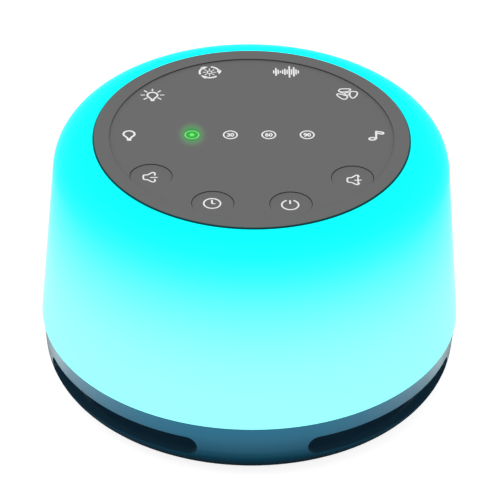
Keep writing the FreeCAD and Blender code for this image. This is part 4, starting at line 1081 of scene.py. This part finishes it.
def make_world(scene, settings):
    """Even white light, seen as full white by the camera and in reflections."""
    world = bpy.data.worlds.new("Studio")
    scene.world = world
    world.use_nodes = True
    tree = world.node_tree
    background = tree.nodes["Background"]
    feed(tree, background.inputs["Color"], WHITE)
    path = tree.nodes.new("ShaderNodeLightPath").outputs
    seen = math_node(tree, "MAXIMUM", path["Is Camera Ray"], path["Is Glossy Ray"])
    seen = math_node(tree, "MAXIMUM", seen, path["Is Transmission Ray"])
    added = math_node(tree, "MULTIPLY", seen, 1.0 - settings.ambient)
    feed(tree, background.inputs["Strength"], math_node(tree, "ADD", added, settings.ambient))


# Shares of the base's radius between which the floor comes out of its painted shadow: its colour, and then
# its lift as the camera and as reflections see it.
FLOOR_SHADOW_SPAN = (1.0, 1.12)
FLOOR_LIFT_SPANS = {"Is Camera Ray": (0.72, 0.80), "Is Glossy Ray": (1.10, 1.22)}


def make_floor(settings):
    """Wide white floor, painted dark under the object as its shadow. What the camera and reflections see of
    it is lifted to white outside the shadow.
    """
    size, height = 20.0, -0.02 * MM
    corners = [[-size, -size, height], [size, -size, height], [size, size, height], [-size, size, height]]
    finish = Finish("White floor", settings.floor_colour, 0.9, Specular_IOR_Level=0.0)
    path = finish.node("ShaderNodeLightPath").outputs

    def clear_of_foot(near, far):
        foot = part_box("base_housing")[1].x
        return finish.group(reach_group(), Near=foot * near, Far=foot * far)["Share"]

    # Painted shadow: the floor is dark under the object, except where the camera sees it.
    lit = math_node(finish.tree, "MAXIMUM", clear_of_foot(*FLOOR_SHADOW_SPAN), path["Is Camera Ray"])
    finish.set("Base Color", finish.mixed(lit, settings.floor_shadow_colour, settings.floor_colour))
    parts = [math_node(finish.tree, "MULTIPLY", clear_of_foot(*span), path[ray])
             for ray, span in FLOOR_LIFT_SPANS.items()]
    seen = math_node(finish.tree, "MAXIMUM", *parts)
    finish.glow(WHITE, math_node(finish.tree, "MULTIPLY", seen, settings.floor_lift))
    floor = new_piece("floor", mesh_from("floor", corners, [[0, 1, 2, 3]]), finish.material)


def make_lamp(scene, settings):
    """One wide soft lamp overhead, a little to the front left."""
    light = bpy.data.lights.new("Wide lamp", "AREA")
    light.shape = "DISK"
    light.size = settings.lamp_width
    light.energy = settings.lamp_power
    lamp = bpy.data.objects.new("Wide lamp", light)
    scene.collection.objects.link(lamp)
    place = Vector(settings.lamp_place)
    lamp.matrix_world = Matrix.Translation(place) @ place.to_track_quat("Z", "Y").to_matrix().to_4x4()


def make_camera(scene, settings):
    """Camera on a circle about the object's foot, turned by its own small roll and aimed above the foot."""
    data = bpy.data.cameras.new("Camera")
    data.lens = settings.lens
    data.sensor_width = 36.0
    data.clip_end = 50.0
    camera = bpy.data.objects.new("Camera", data)
    scene.collection.objects.link(camera)
    e, h = settings.elevation, settings.heading
    place = Vector((math.sin(h) * math.cos(e), -math.cos(h) * math.cos(e), math.sin(e))) * settings.distance
    forward = -place.normalized()
    right = forward.cross(Vector((0, 0, 1))).normalized()
    up = right.cross(forward)
    aim = (forward + right * settings.aim_across + up * settings.aim_up).normalized()
    rolled = (up - right * settings.roll).normalized()
    across = aim.cross(rolled).normalized()
    upward = across.cross(aim)
    turn = Matrix((across, upward, -aim)).transposed()
    camera.matrix_world = Matrix.Translation(place) @ turn.to_4x4()
    scene.camera = camera


# Panel and registration

class MACHINE_PT_panel(bpy.types.Panel):
    """Sizes, colours and steps of the sound machine"""

    bl_idname = "MACHINE_PT_panel"
    bl_label = "Sound machine"
    bl_space_type = "VIEW_3D"
    bl_region_type = "UI"
    bl_category = "Sound machine"

    def draw(self, context):
        settings = context.scene.machine
        for name in ("shade", "base", "panel", "symbols", "stage"):
            group = getattr(settings, name)
            box = self.layout.box()
            box.label(text=name.capitalize())
            for prop in group.__annotations__:
                box.prop(group, prop)
        for step in STEPS:
            self.layout.operator(step.bl_idname)


STEPS = [MACHINE_OT_shade, MACHINE_OT_base, MACHINE_OT_panel, MACHINE_OT_inside, MACHINE_OT_symbols,
         MACHINE_OT_stage]
CLASSES = [ShadeSettings, BaseSettings, PanelSettings, SymbolSettings, StageSettings, MachineSettings,
           *STEPS, MACHINE_PT_panel]


def register():
    for item in CLASSES:
        bpy.utils.register_class(item)
    bpy.types.Scene.machine = PointerProperty(type=MachineSettings)


def unregister():
    del bpy.types.Scene.machine
    for item in reversed(CLASSES):
        bpy.utils.unregister_class(item)


def main():
    register()
    for step in (bpy.ops.machine.shade, bpy.ops.machine.base, bpy.ops.machine.panel, bpy.ops.machine.inside,
                 bpy.ops.machine.symbols, bpy.ops.machine.stage):
        step()


if __name__ == "__main__":
    main()
